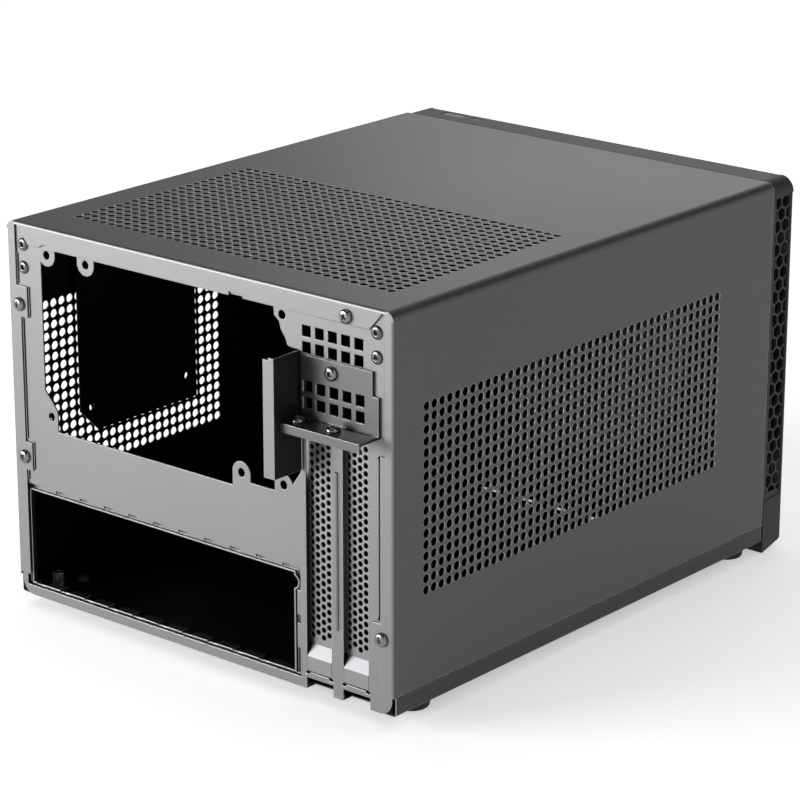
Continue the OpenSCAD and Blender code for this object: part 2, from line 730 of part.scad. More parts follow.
// The upright plate for a small drive, hung from the rail beside the power supply
module drive_plate() {
    x1 = pan_inner - 2 * sheet - 4 * fit;
    z1 = rail_under - fit;
    z0 = foot_h + body_h - plate_drop - plate_h + 12;
    chamfer = 11;
    color(dark_steel) difference() {
        union() {
            translate([x1 - sheet, drive_y, 0]) rotate([90, 0, 90]) linear_extrude(sheet)
                polygon([[-plate_l / 2, z1], [-plate_l / 2, z0], [plate_l / 2 - chamfer, z0],
                    [plate_l / 2, z0 + chamfer], [plate_l / 2, z1]]);
            box([x1 - 12, drive_y - plate_l / 2, z1 - sheet], [x1, drive_y + plate_l / 2, z1]);
        }
        for (j = [-1, 1], k = [-1, 1])
            translate([x1 - 2, drive_y + j * drive_hole_w / 2, z0 + 50 + k * drive_hole_l / 2])
                rotate([0, 90, 0]) cylinder(d = 3.4, h = 4);
        for (y = [drive_y - 26, drive_y + 26])
            translate([pan_inner - 2 * fit - sheet - rail_w / 2, y, z1 - 3])
                cylinder(d = 3.6, h = 6);
    }
}

/* Fasteners */

// A pan head screw with a cross recess, its head outwards along +Z and its seat at the origin
module pan_screw(length) {
    h = 2;
    difference() {
        union() {
            intersection() {
                cylinder(d = screw_head_d, h = h);
                translate([0, 0, h - 5.6]) sphere(r = 5.6, $fn = 48);
            }
            translate([0, 0, -length]) cylinder(d = screw_d, h = length);
        }
        for (a = [0, 90]) rotate([0, 0, a]) translate([-1.7, -0.35, h - 1.1]) cube([3.4, 0.7, 2]);
    }
}

module cover_screws() {
    color(nickel) for (p = cover_screw_spots)
        translate([rear_x(p[0]), rear_y, rear_z(p[1])]) rotate([-90, 0, 0]) pan_screw(6);
}

module clamp_screws() {
    y1 = panel_y + fit + 1.2;
    color(nickel) {
        translate([rear_x(clamp_screw_u), y1, rear_z(clamp_screw_v)]) rotate([-90, 0, 0])
            pan_screw(5);
        for (p = shelf_screw_spots)
            translate([rear_x(p[0] + 1.4), y1 + p[1], rear_z(clamp_v)]) pan_screw(5);
    }
}

// A domed rivet with a small hole, its dome outwards along +Z
module rivet(length) {
    difference() {
        union() {
            intersection() {
                cylinder(d = 6, h = 1.3);
                translate([0, 0, 1.3 - 5]) sphere(r = 5, $fn = 48);
            }
            translate([0, 0, -length]) cylinder(d = 3.2, h = length);
        }
        translate([0, 0, -length - 1]) cylinder(d = 2, h = length + 4);
    }
}

module rear_rivets() {
    color(steel) for (s = [-1, 1], d = rivet_drops)
        translate([s * (case_w / 2 - rivet_in), panel_y, top_z - d]) rotate([-90, 0, 0])
            rivet(3);
}

module frame_rivets() {
    color(steel) for (x = frame_rivet_xs)
        translate([x, frame_y, frame_rivet_z]) rotate([90, 0, 0]) rivet(2.6);
}

// Just long enough to stay under the cover's top
brace_screw_l = 2 * sheet + 3 * fit + 0.6;

module brace_screws() {
    x = pan_inner - 2 * fit - sheet - rail_w / 2;
    z = under_top - sheet - 2 * fit;
    color(nickel) {
        for (s = [-1, 1]) translate([s * x, brace_screw_ys[0], rail_under - sheet - fit - eps])
            rotate([180, 0, 0]) pan_screw(brace_screw_l);
        for (y = [drive_y - 26, drive_y + 26])
            translate([x, y, rail_under - sheet - fit - eps]) rotate([180, 0, 0])
                pan_screw(brace_screw_l);
    }
}

module standoffs() {
    color(nickel) for (p = standoff_spots)
        translate([p[0], p[1], foot_h + boss_h + sheet]) difference() {
            union() {
                cylinder(d = 5.8, h = standoff_h, $fn = 6);
                translate([0, 0, -3]) cylinder(d = 4, h = 3.5);
            }
            translate([0, 0, standoff_h - 5]) cylinder(d = 2.6, h = 6);
        }
}

module feet() {
    color([0.06, 0.06, 0.06]) for (p = foot_spots) translate([p[0], p[1], 0]) {
        difference() {
            cylinder(d1 = foot_d - 2, d2 = foot_d, h = foot_h);
            translate([0, 0, -eps]) cylinder(d = foot_d / 2, h = 1);
        }
        cylinder(d = 4.2, h = foot_h + 2.4);
        translate([0, 0, foot_h + sheet + fit]) cylinder(d1 = 6.4, d2 = 4.2, h = 1.8);
    }
}

/* Bezel */
cell_row = (cell_w + cell_web) * sqrt(3) / 2;
window_z0 = foot_h + 24;
crease_z = foot_h + 20;
window_z1 = foot_h + 167;
button_y = front_y + bezel_t + 0.6 + button_w / 2;
power_x = rear_x(24.4);
reset_x = rear_x(39);
led_z = top_z - 16;
io_x = rear_x(24);
usb_z = foot_h + 60;
usb_pitch = 16;
jack_z = foot_h + 34;
jack_pitch = 11;
board_back = joint_y - 1.6;
io_post_zs = [jack_z - 8, usb_z + usb_pitch + 10.4];
button_top = case_h - 0.2;
flange_top = case_h - bezel_t - 0.2;
switch_z = flange_top - 4.4 - button_travel - 0.2;
switch_x0 = reset_x - 10;
switch_x1 = power_x + 14;
switch_post_xs = [switch_x0 + 3, switch_x1 - 3];
switch_post_y = button_y + 3;

module bezel_outline(inset) {
    w = case_w - 2 * inset;
    r = max(bezel_r - inset, 0.5);
    z1 = case_h - inset;
    translate([-w / 2, bezel_clear]) square([w, z1 - bezel_clear - r]);
    translate([-w / 2 + r, z1 - 2 * r]) square([w - 2 * r, 2 * r]);
    for (s = [-1, 1]) translate([s * (w / 2 - r), z1 - r]) circle(r);
}

// Pointed-up honeycomb cells, cut off straight at the window's edges
module honeycomb_window() {
    w0 = front_y + bezel_t;
    w1 = joint_y - 2;
    intersection() {
        box([-5, w0, window_z0], [5, w1, window_z1]);
        union() for (j = [0:ceil((window_z1 - window_z0) / cell_row)], i = [0:2])
            translate([-5, w0 + (i + (j % 2) / 2) * (cell_w + cell_web), window_z0 + j * cell_row])
                rotate([0, 90, 0]) cylinder(d = cell_w / cos(30), h = 10, $fn = 6);
    }
}

module bezel() {
    depth = joint_y - front_y;
    color(plastic) difference() {
        union() {
            difference() {
                translate([0, joint_y, 0]) rotate([90, 0, 0]) linear_extrude(depth)
                    bezel_outline(0);
                // The hollow behind the face
                translate([0, joint_y + 1, 0]) rotate([90, 0, 0])
                    linear_extrude(depth + 1 - bezel_t) intersection() {
                        bezel_outline(bezel_t);
                        translate([-case_w, max(foot_h, bezel_chin + 1)])
                            square([2 * case_w, case_h]);
                    }
            }
            // Posts that carry the two small boards
            for (x = switch_post_xs) translate([x, switch_post_y, switch_z - 3.6])
                cylinder(d = 5, h = case_h - bezel_t / 2 - switch_z + 3.6);
            for (z = io_post_zs) translate([io_x, front_y + bezel_t / 2, z]) rotate([-90, 0, 0])
                cylinder(d = 6, h = board_back - 1.4 - front_y - bezel_t / 2);
        }
        for (x = switch_post_xs) translate([x, switch_post_y, switch_z - 4])
            cylinder(d = 2.2, h = 6);
        for (z = io_post_zs) translate([io_x, board_back - 1.3, z]) rotate([90, 0, 0])
            cylinder(d = 2.2, h = 7);
        // A soft edge round the face
        for (s = [-1, 1]) translate([s * case_w / 2, front_y, 0]) mirror([s > 0 ? 1 : 0, 0, 0])
            linear_extrude(case_h - bezel_r) corner_waste(1);
        translate([-case_w / 2 + bezel_r, front_y, case_h]) rotate([0, 90, 0])
            linear_extrude(case_w - 2 * bezel_r) corner_waste(1);
        // The seat of the face plate
        translate([0, front_y + 1.2, 0]) rotate([90, 0, 0]) linear_extrude(2)
            face_outline(0);
        for (s = [-1, 1]) translate([s * (case_w / 2 - 1), 0, 0]) honeycomb_window();
        // The underside rises to the front and turns into the face with a soft edge
        translate([-case_w / 2 - 1, 0, 0]) rotate([90, 0, 90]) linear_extrude(case_w + 2)
            polygon([[joint_y + 1, -1], [joint_y + 1, bezel_clear], [joint_y, bezel_clear],
                [front_y + 2.2, bezel_chin - 1.2], [front_y + 0.9, bezel_chin - 0.5],
                [front_y + 0.2, bezel_chin + 0.6], [front_y - 0.1, bezel_chin + 1.8],
                [front_y - 1, bezel_chin + 1.8], [front_y - 1, -1]]);
        // The sides are set in a little above a crease
        for (s = [-1, 1]) translate([s * case_w / 2 - 0.4, 0, 0]) rotate([90, 0, 90])
            linear_extrude(0.8) polygon([[joint_y + 1, crease_z], [front_y + 2, crease_z + 1.2],
                [front_y + 2, case_h - bezel_r], [joint_y + 1, case_h - bezel_r]]);
        // Openings for the buttons
        for (b = [[power_x, power_l, button_w], [reset_x, reset_l, button_w / 2]])
            translate([b[0] - b[1] / 2 - button_gap, button_y - b[2] / 2 - button_gap, case_h - 4])
                cube([b[1] + 2 * button_gap, b[2] + 2 * button_gap, 8]);
        // Openings for the lamps and the sockets
        for (x = [power_x, reset_x]) translate([x, front_y - 1, led_z]) rotate([-90, 0, 0])
            cylinder(d = 3.2, h = 6);
        front_socket_cuts(4);
    }
}

face_in = 9;

module face_outline(grow) {
    translate([-case_w / 2 + face_in - grow, 14 - grow])
        square([case_w - 2 * face_in + 2 * grow, case_h - 14 - face_in + 2 * grow]);
}

module front_socket_cuts(reach) {
    for (i = [0, 1]) {
        translate([io_x - 3.2, front_y - 1, usb_z + i * usb_pitch - 6.8])
            cube([6.4, 1 + reach, 13.6]);
        translate([io_x, front_y - 1, jack_z + i * jack_pitch]) rotate([-90, 0, 0])
            cylinder(d = 7, h = 1 + reach);
    }
}

// The flat panel set into the face
module face_plate() {
    color([0.09, 0.09, 0.1]) difference() {
        translate([0, front_y + 1.2 - fit / 2, 0]) rotate([90, 0, 0]) linear_extrude(1.2 - fit)
            face_outline(-0.2);
        front_socket_cuts(4);
        for (x = [power_x, reset_x]) translate([x, front_y - 1, led_z]) rotate([-90, 0, 0])
            cylinder(d = 3.2, h = 6);
    }
}

// The fan's dust filter behind the face: a frame with its mesh moulded in
module dust_filter() {
    w = fan_open_d + 14;
    rim = 5;
    y1 = frame_y - fit;
    n = 10;
    gap = (w - 2 * rim) / n;
    bar = 2;
    color([0.06, 0.06, 0.06]) difference() {
        union() {
            difference() {
                box([-w / 2, y1 - 2, fan_z - w / 2], [w / 2, y1, fan_z + w / 2]);
                box([-w / 2 + rim, y1 - 3, fan_z - w / 2 + rim],
                    [w / 2 - rim, y1 + 1, fan_z + w / 2 - rim]);
            }
            box([-w / 2 + 1, y1 - 1.4, fan_z - w / 2 + 1], [w / 2 - 1, y1 - 0.6, fan_z + w / 2 - 1]);
        }
        for (i = [0:n - 1], j = [0:n - 1])
            translate([-w / 2 + rim + i * gap + bar / 2, y1 - 3,
                fan_z - w / 2 + rim + j * gap + bar / 2]) cube([gap - bar, 5, gap - bar]);
    }
}

// A push cap with a wider foot that keeps it in the bezel; the top stands just below the bezel
module button(x, l, w) {
    translate([x, button_y, 0]) {
        translate([-l / 2, -w / 2, flange_top - 2]) cube([l, w, button_top - flange_top + 2]);
        translate([-l / 2 - 1, -w / 2 - 0.3, flange_top - 2]) cube([l + 2, w + 1.2, 2]);
        translate([0, 0, flange_top - 4.4]) cylinder(d = 2.4, h = 3);
    }
}

module power_button() {
    color(plastic) button(power_x, power_l, button_w);
}

module reset_button() {
    color(plastic) button(reset_x, reset_l, button_w / 2);
}

// The small board under the buttons, with one switch for each
module switch_board() {
    color([0.08, 0.2, 0.12]) difference() {
        union() {
            box([switch_x0, front_y + bezel_t + 0.3, switch_z - 5],
                [switch_x1, joint_y - 1.6, switch_z - 3.6]);
            for (x = [power_x, reset_x]) {
                translate([x - 3, button_y - 2.4, switch_z - 3.8]) cube([6, 5, 2.9]);
                translate([x, button_y, switch_z - 1]) cylinder(d = 2.6, h = 1);
            }
        }
        for (x = switch_post_xs) translate([x, switch_post_y, switch_z - 6])
            cylinder(d = 2.6, h = 4);
    }
}

// Small screws that hold the board up against the bezel's posts
module switch_screws() {
    color(nickel) for (x = switch_post_xs)
        translate([x, switch_post_y, switch_z - 5]) rotate([180, 0, 0]) {
            cylinder(d = 4.4, h = 1.4);
            translate([0, 0, -5]) cylinder(d = 2.1, h = 5.2);
        }
}

module led(x) {
    translate([x, front_y + 0.2, led_z]) rotate([-90, 0, 0]) {
        cylinder(d = 3, h = 6.4);
        translate([0, 0, bezel_t + 0.1]) cylinder(d = 4, h = 1.4);
    }
}

module power_led() {
    color([0.75, 0.8, 0.9]) led(power_x);
}

module drive_led() {
    color([0.9, 0.55, 0.5]) led(reset_x);
}

module io_board() {
    color([0.08, 0.2, 0.12]) difference() {
        box([io_x - 9, board_back - 1.4, io_post_zs[0] - 4],
            [io_x + 9, board_back, io_post_zs[1] + 4]);
        for (z = io_post_zs) translate([io_x, board_back - 3, z])
            rotate([-90, 0, 0]) cylinder(d = 2.6, h = 5);
    }
}

module usb_port(i) {
    z = usb_z + i * usb_pitch;
    y0 = front_y + 0.6;
    y1 = board_back - 1.4 - fit;
    color(nickel) difference() {
        box([io_x - 2.9, y0, z - 6.6], [io_x + 2.9, y1, z + 6.6]);
        difference() {
            box([io_x - 2.5, y0 - 1, z - 6.2], [io_x + 2.5, y1 - 1, z + 6.2]);
            box([io_x + 0.2, y0 + 1, z - 5.4], [io_x + 2.1, y1, z + 5.4]);
        }
    }
}

module usb_port_1() {
    usb_port(0);
}

module usb_port_2() {
    usb_port(1);
}

module audio_jack(i) {
    y1 = board_back - 1.4 - fit;
    color([0.1, 0.1, 0.1]) translate([io_x, front_y + 0.6, jack_z + i * jack_pitch])
        rotate([-90, 0, 0]) difference() {
            union() {
                cylinder(d = 6.6, h = 4);
                translate([-3.6, -3.6, 3]) cube([7.2, 7.2, y1 - front_y - 3.6]);
            }
            translate([0, 0, -1]) cylinder(d = 3.6, h = 10);
        }
}

module audio_jack_1() {
    audio_jack(0);
}

module audio_jack_2() {
    audio_jack(1);
}

module io_screws() {
    color(nickel) for (z = io_post_zs)
        translate([io_x, board_back, z]) rotate([-90, 0, 0]) {
            cylinder(d = 4.4, h = 1);
            translate([0, 0, -6]) cylinder(d = 2.1, h = 6.2);
        }
}

base_pan();
rear_panel();
front_frame();
rail_left();
rail_right();
cross_brace();
drive_plate();
cover();
slot_clamp();
slot_cover_1();
slot_cover_2();
cover_screws();
clamp_screws();
rear_rivets();
frame_rivets();
brace_screws();
standoffs();
feet();
bezel();
face_plate();
dust_filter();
power_button();
reset_button();
switch_board();
switch_screws();
power_led();
drive_led();
io_board();
usb_port_1();
usb_port_2();
audio_jack_1();
audio_jack_2();
io_screws();
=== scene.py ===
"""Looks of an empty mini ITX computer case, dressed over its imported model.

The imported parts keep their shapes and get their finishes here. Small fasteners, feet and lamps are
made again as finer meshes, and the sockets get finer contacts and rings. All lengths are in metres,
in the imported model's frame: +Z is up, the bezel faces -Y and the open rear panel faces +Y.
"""

import logging
import math
from dataclasses import dataclass, field
from enum import Enum
from typing import Any, Iterable, Sequence, Union

import bmesh
import bpy
from mathutils import Matrix, Vector


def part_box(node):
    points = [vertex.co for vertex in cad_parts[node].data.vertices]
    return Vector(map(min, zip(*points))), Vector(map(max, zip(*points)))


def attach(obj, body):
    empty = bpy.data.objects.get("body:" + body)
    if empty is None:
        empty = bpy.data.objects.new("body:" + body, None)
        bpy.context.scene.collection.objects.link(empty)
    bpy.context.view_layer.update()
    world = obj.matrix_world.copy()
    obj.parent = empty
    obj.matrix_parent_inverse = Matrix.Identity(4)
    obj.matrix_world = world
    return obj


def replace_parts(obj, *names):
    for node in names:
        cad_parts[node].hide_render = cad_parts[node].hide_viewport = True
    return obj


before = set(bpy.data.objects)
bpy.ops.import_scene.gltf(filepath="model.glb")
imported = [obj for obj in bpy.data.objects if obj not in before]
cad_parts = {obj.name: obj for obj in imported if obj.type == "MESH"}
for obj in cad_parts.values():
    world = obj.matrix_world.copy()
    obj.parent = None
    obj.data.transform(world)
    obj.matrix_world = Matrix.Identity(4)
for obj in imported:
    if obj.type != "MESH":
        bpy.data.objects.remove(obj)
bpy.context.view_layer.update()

LOG = logging.getLogger("case")
MM = 0.001
Colour = tuple[float, float, float]
Profile = Sequence[tuple[float, float]]
Value = Union["Sock", float, Sequence[float]]


class Sock:
    """An output of a shader node that takes part in Python expressions."""

    def __init__(self, tree: "Tree", link: bpy.types.NodeSocket) -> None:
        """Keep the tree and the node's output socket."""
        self.tree = tree
        self.link = link

    def _math(self, operation: str, first: Value, second: Value) -> "Sock":
        """Add a Math node for one operation on two values."""
        return self.tree.node("ShaderNodeMath", {"operation": operation}, {0: first, 1: second})

    def __add__(self, other: Value) -> "Sock":
        """Return self + other."""
        return self._math("ADD", self, other)

    def __radd__(self, other: Value) -> "Sock":
        """Return other + self."""
        return self._math("ADD", other, self)

    def __sub__(self, other: Value) -> "Sock":
        """Return self - other."""
        return self._math("SUBTRACT", self, other)

    def __rsub__(self, other: Value) -> "Sock":
        """Return other - self."""
        return self._math("SUBTRACT", other, self)

    def __mul__(self, other: Value) -> "Sock":
        """Return self * other."""
        return self._math("MULTIPLY", self, other)

    def __rmul__(self, other: Value) -> "Sock":
        """Return other * self."""
        return self._math("MULTIPLY", other, self)

    def __pow__(self, other: Value) -> "Sock":
        """Return self ** other."""
        return self._math("POWER", self, other)

    def __gt__(self, other: Value) -> "Sock":
        """Return 1 where self is greater than other, and 0 elsewhere."""
        return self._math("GREATER_THAN", self, other)

    def __lt__(self, other: Value) -> "Sock":
        """Return 1 where self is less than other, and 0 elsewhere."""
        return self._math("LESS_THAN", self, other)

    def top(self, other: Value) -> "Sock":
        """Return the greater of self and other."""
        return self._math("MAXIMUM", self, other)

    def size(self) -> "Sock":
        """Return self without its sign."""
        return self._math("ABSOLUTE", self, 0.0)


class Tree:
    """A node tree that is written as expressions."""

    def __init__(self, nodes: bpy.types.NodeTree) -> None:
        """Start on an emptied node tree."""
        self.nodes = nodes
        self.nodes.nodes.clear()

    def set(self, socket: bpy.types.NodeSocket, value: Value) -> None:
        """Link or write a value into an input socket.

        Args:
            socket: the input socket.
            value: an output to link, a number, or a vector or colour.
        """
        if isinstance(value, Sock):
            self.nodes.links.new(value.link, socket)
        elif isinstance(value, (tuple, list)) and socket.type == "RGBA":
            socket.default_value = (*value[:3], 1.0)
        else:
            socket.default_value = value

    def node(self, kind: str, settings: dict[str, Any], values: dict[Any, Value],
             out: Union[int, str] = 0) -> Sock:
        """Add one node.

        Args:
            kind: the node's type.
            settings: what is set first, such as an operation or a ramp's stops.
            values: values or links by the name or number of an input.
            out: the name or number of the output that is returned.

        Returns:
            The chosen output.
        """
        made = self.nodes.nodes.new(kind)
        for name, value in settings.items():
            if name == "stops":
                ramp = made.color_ramp.elements
                while len(ramp) > 1:
                    ramp.remove(ramp[-1])
                for i, (place, colour) in enumerate(value):
                    stop = ramp[0] if i == 0 else ramp.new(place)
                    stop.position, stop.color = place, (*colour, 1.0)
            else:
                setattr(made, name, value)
        for name, value in values.items():
            self.set(made.inputs[name], value)
        return Sock(self, made.outputs[out])

    def noise(self, where: Value, scale: float, detail: float = 2.0, roughness: float = 0.5) -> Sock:
        """Return a noise pattern.

        Args:
            where: the coordinates.
            scale: how many features there are in a metre.
            detail: how many finer layers are added.
            roughness: how strong the finer layers are.

        Returns:
            The noise, about 0.5 on average.
        """
        return self.node("ShaderNodeTexNoise", {},
                         {"Vector": where, "Scale": scale, "Detail": detail, "Roughness": roughness})

    def smooth(self, value: Value, low: float, high: float) -> Sock:
        """Return 0 below low, 1 above high, and a smooth step between them."""
        return self.node("ShaderNodeMapRange", {"interpolation_type": "SMOOTHSTEP"},
                         {"Value": value, "From Min": low, "From Max": high})

    def mix(self, share: Value, first: Value, second: Value) -> Sock:
        """Return first where share is 0 and second where it is 1, as a colour."""
        return self.node("ShaderNodeMix", {"data_type": "RGBA"}, {0: share, 6: first, 7: second}, 2)

    def stretch(self, where: Value, factors: Sequence[float]) -> Sock:
        """Return coordinates multiplied along each axis."""
        return self.node("ShaderNodeVectorMath", {"operation": "MULTIPLY"},
                         {0: where, 1: tuple(factors)})

    def split(self, where: Value) -> tuple[Sock, Sock, Sock]:
        """Return the three parts of a vector."""
        made = self.node("ShaderNodeSeparateXYZ", {}, {0: where}).link.node
        return tuple(Sock(self, made.outputs[i]) for i in range(3))


class Shader(Tree):
    """One material: a Principled shader and the nodes that feed it."""

    def __init__(self, name: str) -> None:
        """Make an empty material with its shader and output.

        Args:
            name: the material's name.
        """
        self.material = bpy.data.materials.new(name)
        self.material.use_nodes = True
        super().__init__(self.material.node_tree)
        self.surface = self.nodes.nodes.new("ShaderNodeBsdfPrincipled")
        end = self.nodes.nodes.new("ShaderNodeOutputMaterial")
        self.nodes.links.new(self.surface.outputs[0], end.inputs["Surface"])
        self.where = self.node("ShaderNodeTexCoord", {}, {}, "Object")

    def dress(self, **inputs: Value) -> bpy.types.Material:
        """Fill in the shader's inputs.

        Args:
            inputs: values by input name, with _ for a space.

        Returns:
            The finished material.
        """
        for name, value in inputs.items():
            self.set(self.surface.inputs[name.replace("_", " ")], value)
        return self.material

    def rounded(self, radius: float) -> Sock:
        """Return the surface direction with every edge rounded off by a radius."""
        return self.node("ShaderNodeBevel", {"samples": 6}, {"Radius": radius})

    def painted_rim_highlight(self, rounded: Sock) -> Sock:
        """Return 1 along sharp edges and 0 on the faces between them, the mask of painted edge
        highlights.
        """
        flat = self.node("ShaderNodeNewGeometry", {}, {}, "Normal")
        along = self.node("ShaderNodeVectorMath", {"operation": "DOT_PRODUCT"},
                          {0: rounded, 1: flat}, "Value")
        return self.smooth(1.0 - along, 0.03, 0.22)

    def bump(self, height: Value, depth: float, base: Value, strength: float = 1.0) -> Sock:
        """Return a surface direction with a relief.

        Args:
            height: the relief, from 0 to 1.
            depth: its depth in metres.
            base: the surface direction that it is laid on.
            strength: how much of it shows.

        Returns:
            The changed direction.
        """
        return self.node("ShaderNodeBump", {},
                         {"Height": height, "Distance": depth, "Strength": strength, "Normal": base})


class Outside(Enum):
    """Which faces of a folded part are seen from outside the case."""

    ALL = "all"
    NONE = "none"
    COVER = "cover"
    PANEL = "panel"
    PAN = "pan"


@dataclass(frozen=True)
class CoatedSteel:
    """Folded sheet steel under a satin powder coat, darker inside by painted shade, with painted
    highlights on edges and rear.
    """

    name: str
    outside: Outside
    outer: Colour = (0.095, 0.095, 0.097)
    # Painted glare: faces that look backwards get this paler colour, standing in for the strong light
    # on the rear.
    rear: Colour = (0.200, 0.200, 0.203)
    # Inside colour: black paint, darkened further as painted shade inside the case.
    inner_paint_and_shade: Colour = (0.006, 0.006, 0.006)
    # Painted highlight colour laid along sharp edges.
    rim: Colour = (0.60, 0.60, 0.60)
    roughness: float = 0.46
    metallic: float = 0.80
    inner_metallic: float = 0.9
    skin: float = 0.4 * MM
    bend: float = 4 * MM
    panel_depth: float = 6 * MM

    def outer_share(self, shader: Shader) -> Value:
        """Return 1 on the faces that look out of the case and 0 on the others.

        Args:
            shader: the material that is being built.

        Returns:
            A mask, or a plain number.
        """
        x, y, z = shader.split(shader.where)
        if self.outside is Outside.COVER:
            low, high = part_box("cover")
            side = (x.size() - (high.x - self.bend)).top(0.0)
            top = (z - (high.z - self.bend)).top(0.0)
            around = (side * side + top * top) > (self.bend - self.skin) ** 2
            return around.top(y > high.y - self.skin)
        if self.outside is Outside.PANEL:
            low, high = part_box("cover")
            return (y > high.y - self.panel_depth) * (self.facing(shader) > -0.3)
        if self.outside is Outside.PAN:
            low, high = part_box("base_pan")
            return (x.size() > high.x - self.skin).top(z < low.z + self.skin)
        return 1.0 if self.outside is Outside.ALL else 0.0

    def facing(self, shader: Shader) -> Sock:
        """Return how far a face looks backwards, from -1 to 1."""
        flat = shader.node("ShaderNodeNewGeometry", {}, {}, "True Normal")
        return shader.split(flat)[1]

    def build(self) -> bpy.types.Material:
        """Return the material."""
        s = Shader(self.name)
        outer = self.outer_share(s)
        drift = s.noise(s.where, 7.0, 3.0)
        speck = s.noise(s.where, 2600.0, 2.0, 0.7)
        peel = s.noise(s.where, 900.0, 3.0, 0.55)
        shade = 0.94 + drift * 0.12 + (speck - 0.5) * 0.10
        # Painted glare: faces that look backwards are mixed towards the paler rear colour.
        glare_share = s.smooth(self.facing(s), 0.25, 0.75)
        coat = s.node("ShaderNodeVectorMath", {"operation": "SCALE"},
                      {0: s.mix(glare_share, self.outer, self.rear), "Scale": shade})
        # Faces not seen from outside take the inside colour: black paint darkened as painted shade.
        colour = s.mix(outer, self.inner_paint_and_shade, coat)
        rounded = s.rounded(0.55 * MM)
        # Painted highlight: sharp edges on outside faces are lightened towards the rim colour and made
        # more metallic.
        painted_rim_highlight = s.painted_rim_highlight(rounded) * outer
        rough = self.roughness - 0.03 + drift * 0.06 + (speck - 0.5) * 0.08 - painted_rim_highlight * 0.12
        metallic = (self.inner_metallic + outer * (self.metallic - self.inner_metallic)) + painted_rim_highlight * 0.25
        relief = s.bump(peel + speck * 0.35, 0.012 * MM, rounded, 0.55)
        return s.dress(Base_Color=s.mix(painted_rim_highlight * 0.95, colour, self.rim), Roughness=rough,
                       Metallic=metallic, Normal=relief)


@dataclass(frozen=True)
class PlatedSteel:
    """Bright plated steel with faint rolling marks."""

    name: str
    colour: Colour
    roughness: float
    streak: tuple[float, float, float] = (1.0, 1.0, 0.04)

    def build(self) -> bpy.types.Material:
        """Return the material."""
        s = Shader(self.name)
        marks = s.noise(s.stretch(s.where, self.streak), 1500.0, 3.0, 0.6)
        cloud = s.noise(s.where, 60.0, 3.0)
        tint = 0.90 + cloud * 0.14 + (marks - 0.5) * 0.10
        colour = s.node("ShaderNodeVectorMath", {"operation": "SCALE"},
                        {0: self.colour, "Scale": tint})
        rounded = s.rounded(0.2 * MM)
        rough = self.roughness + (marks - 0.5) * 0.14 + (cloud - 0.5) * 0.08
        relief = s.bump(marks, 0.006 * MM, rounded, 0.5)
        return s.dress(Base_Color=colour, Roughness=rough, Metallic=1.0, Normal=relief)


@dataclass(frozen=True)
class MouldedPlastic:
    """Moulded plastic with the fine grain of an eroded mould."""

    name: str
    colour: Colour
    roughness: float
    grain: float = 0.02 * MM
    gloss: float = 0.5

    def build(self) -> bpy.types.Material:
        """Return the material."""
        s = Shader(self.name)
        grain = s.noise(s.where, 1800.0, 4.0, 0.65)
        cloud = s.noise(s.where, 12.0, 3.0)
        colour = s.node("ShaderNodeVectorMath", {"operation": "SCALE"},
                        {0: self.colour, "Scale": 0.92 + cloud * 0.12 + (grain - 0.5) * 0.10})
        rounded = s.rounded(0.3 * MM)
        painted_rim_highlight = s.painted_rim_highlight(rounded)
        rough = self.roughness + (grain - 0.5) * 0.12 - painted_rim_highlight * 0.10
        relief = s.bump(grain, self.grain, rounded, 0.6)
        # Painted highlight: sharp edges are lightened towards a pale grey.
        return s.dress(Base_Color=s.mix(painted_rim_highlight * 0.35, colour, (0.16, 0.16, 0.165)),
                       Roughness=rough, Specular_IOR_Level=self.gloss, Normal=relief)


@dataclass(frozen=True)
class BrushedPlate:
    """The dark front plate, brushed upright."""

    name: str
    colour: Colour = (0.030, 0.030, 0.032)

    def build(self) -> bpy.types.Material:
        """Return the material."""
        s = Shader(self.name)
        lines = s.noise(s.stretch(s.where, (1.0, 1.0, 0.012)), 2400.0, 4.0, 0.7)
        soft = s.noise(s.stretch(s.where, (1.0, 1.0, 0.05)), 260.0, 3.0)
        colour = s.node("ShaderNodeVectorMath", {"operation": "SCALE"},
                        {0: self.colour, "Scale": 0.70 + lines * 0.45 + soft * 0.15})
        rounded = s.rounded(0.3 * MM)
        relief = s.bump(lines, 0.010 * MM, rounded, 0.6)
        return s.dress(Base_Color=colour, Roughness=0.30 + lines * 0.16, Metallic=0.75,
                       Normal=relief)


@dataclass(frozen=True)
class Rubber:
    """Matt black rubber with a bloom of dust."""

    name: str

    def build(self) -> bpy.types.Material:
        """Return the material."""
        s = Shader(self.name)
        fine = s.noise(s.where, 2200.0, 3.0, 0.6)
        bloom = s.noise(s.where, 90.0, 4.0)
        shade = s.mix(s.smooth(bloom, 0.45, 0.8) * 0.5, (0.014, 0.014, 0.014), (0.040, 0.039, 0.037))
        return s.dress(Base_Color=shade, Roughness=0.78 + (fine - 0.5) * 0.2,
                       Normal=s.bump(fine, 0.03 * MM, s.rounded(0.3 * MM)))


@dataclass(frozen=True)
class CircuitBoard:
    """Green solder mask over copper tracks."""

    name: str

    def build(self) -> bpy.types.Material:
        """Return the material."""
        s = Shader(self.name)
        x, y, _ = s.split(s.where)
        bend = s.noise(s.where, 110.0, 0.0)
        run = (x + y + bend * 0.012) * 520.0
        track = s.smooth(s.node("ShaderNodeMath", {"operation": "SINE"}, {0: run * 2.2}), 0.5, 0.8)
        fill = s.smooth(s.noise(s.where, 150.0, 1.0), 0.5, 0.53)
        copper = track * fill
        weave = s.noise(s.where, 3000.0, 2.0)
        colour = s.mix(copper, (0.012, 0.062, 0.026), (0.030, 0.125, 0.050))
        return s.dress(Base_Color=colour, Roughness=0.32 + (weave - 0.5) * 0.12,
                       Normal=s.bump(copper, 0.03 * MM, s.rounded(0.2 * MM)))


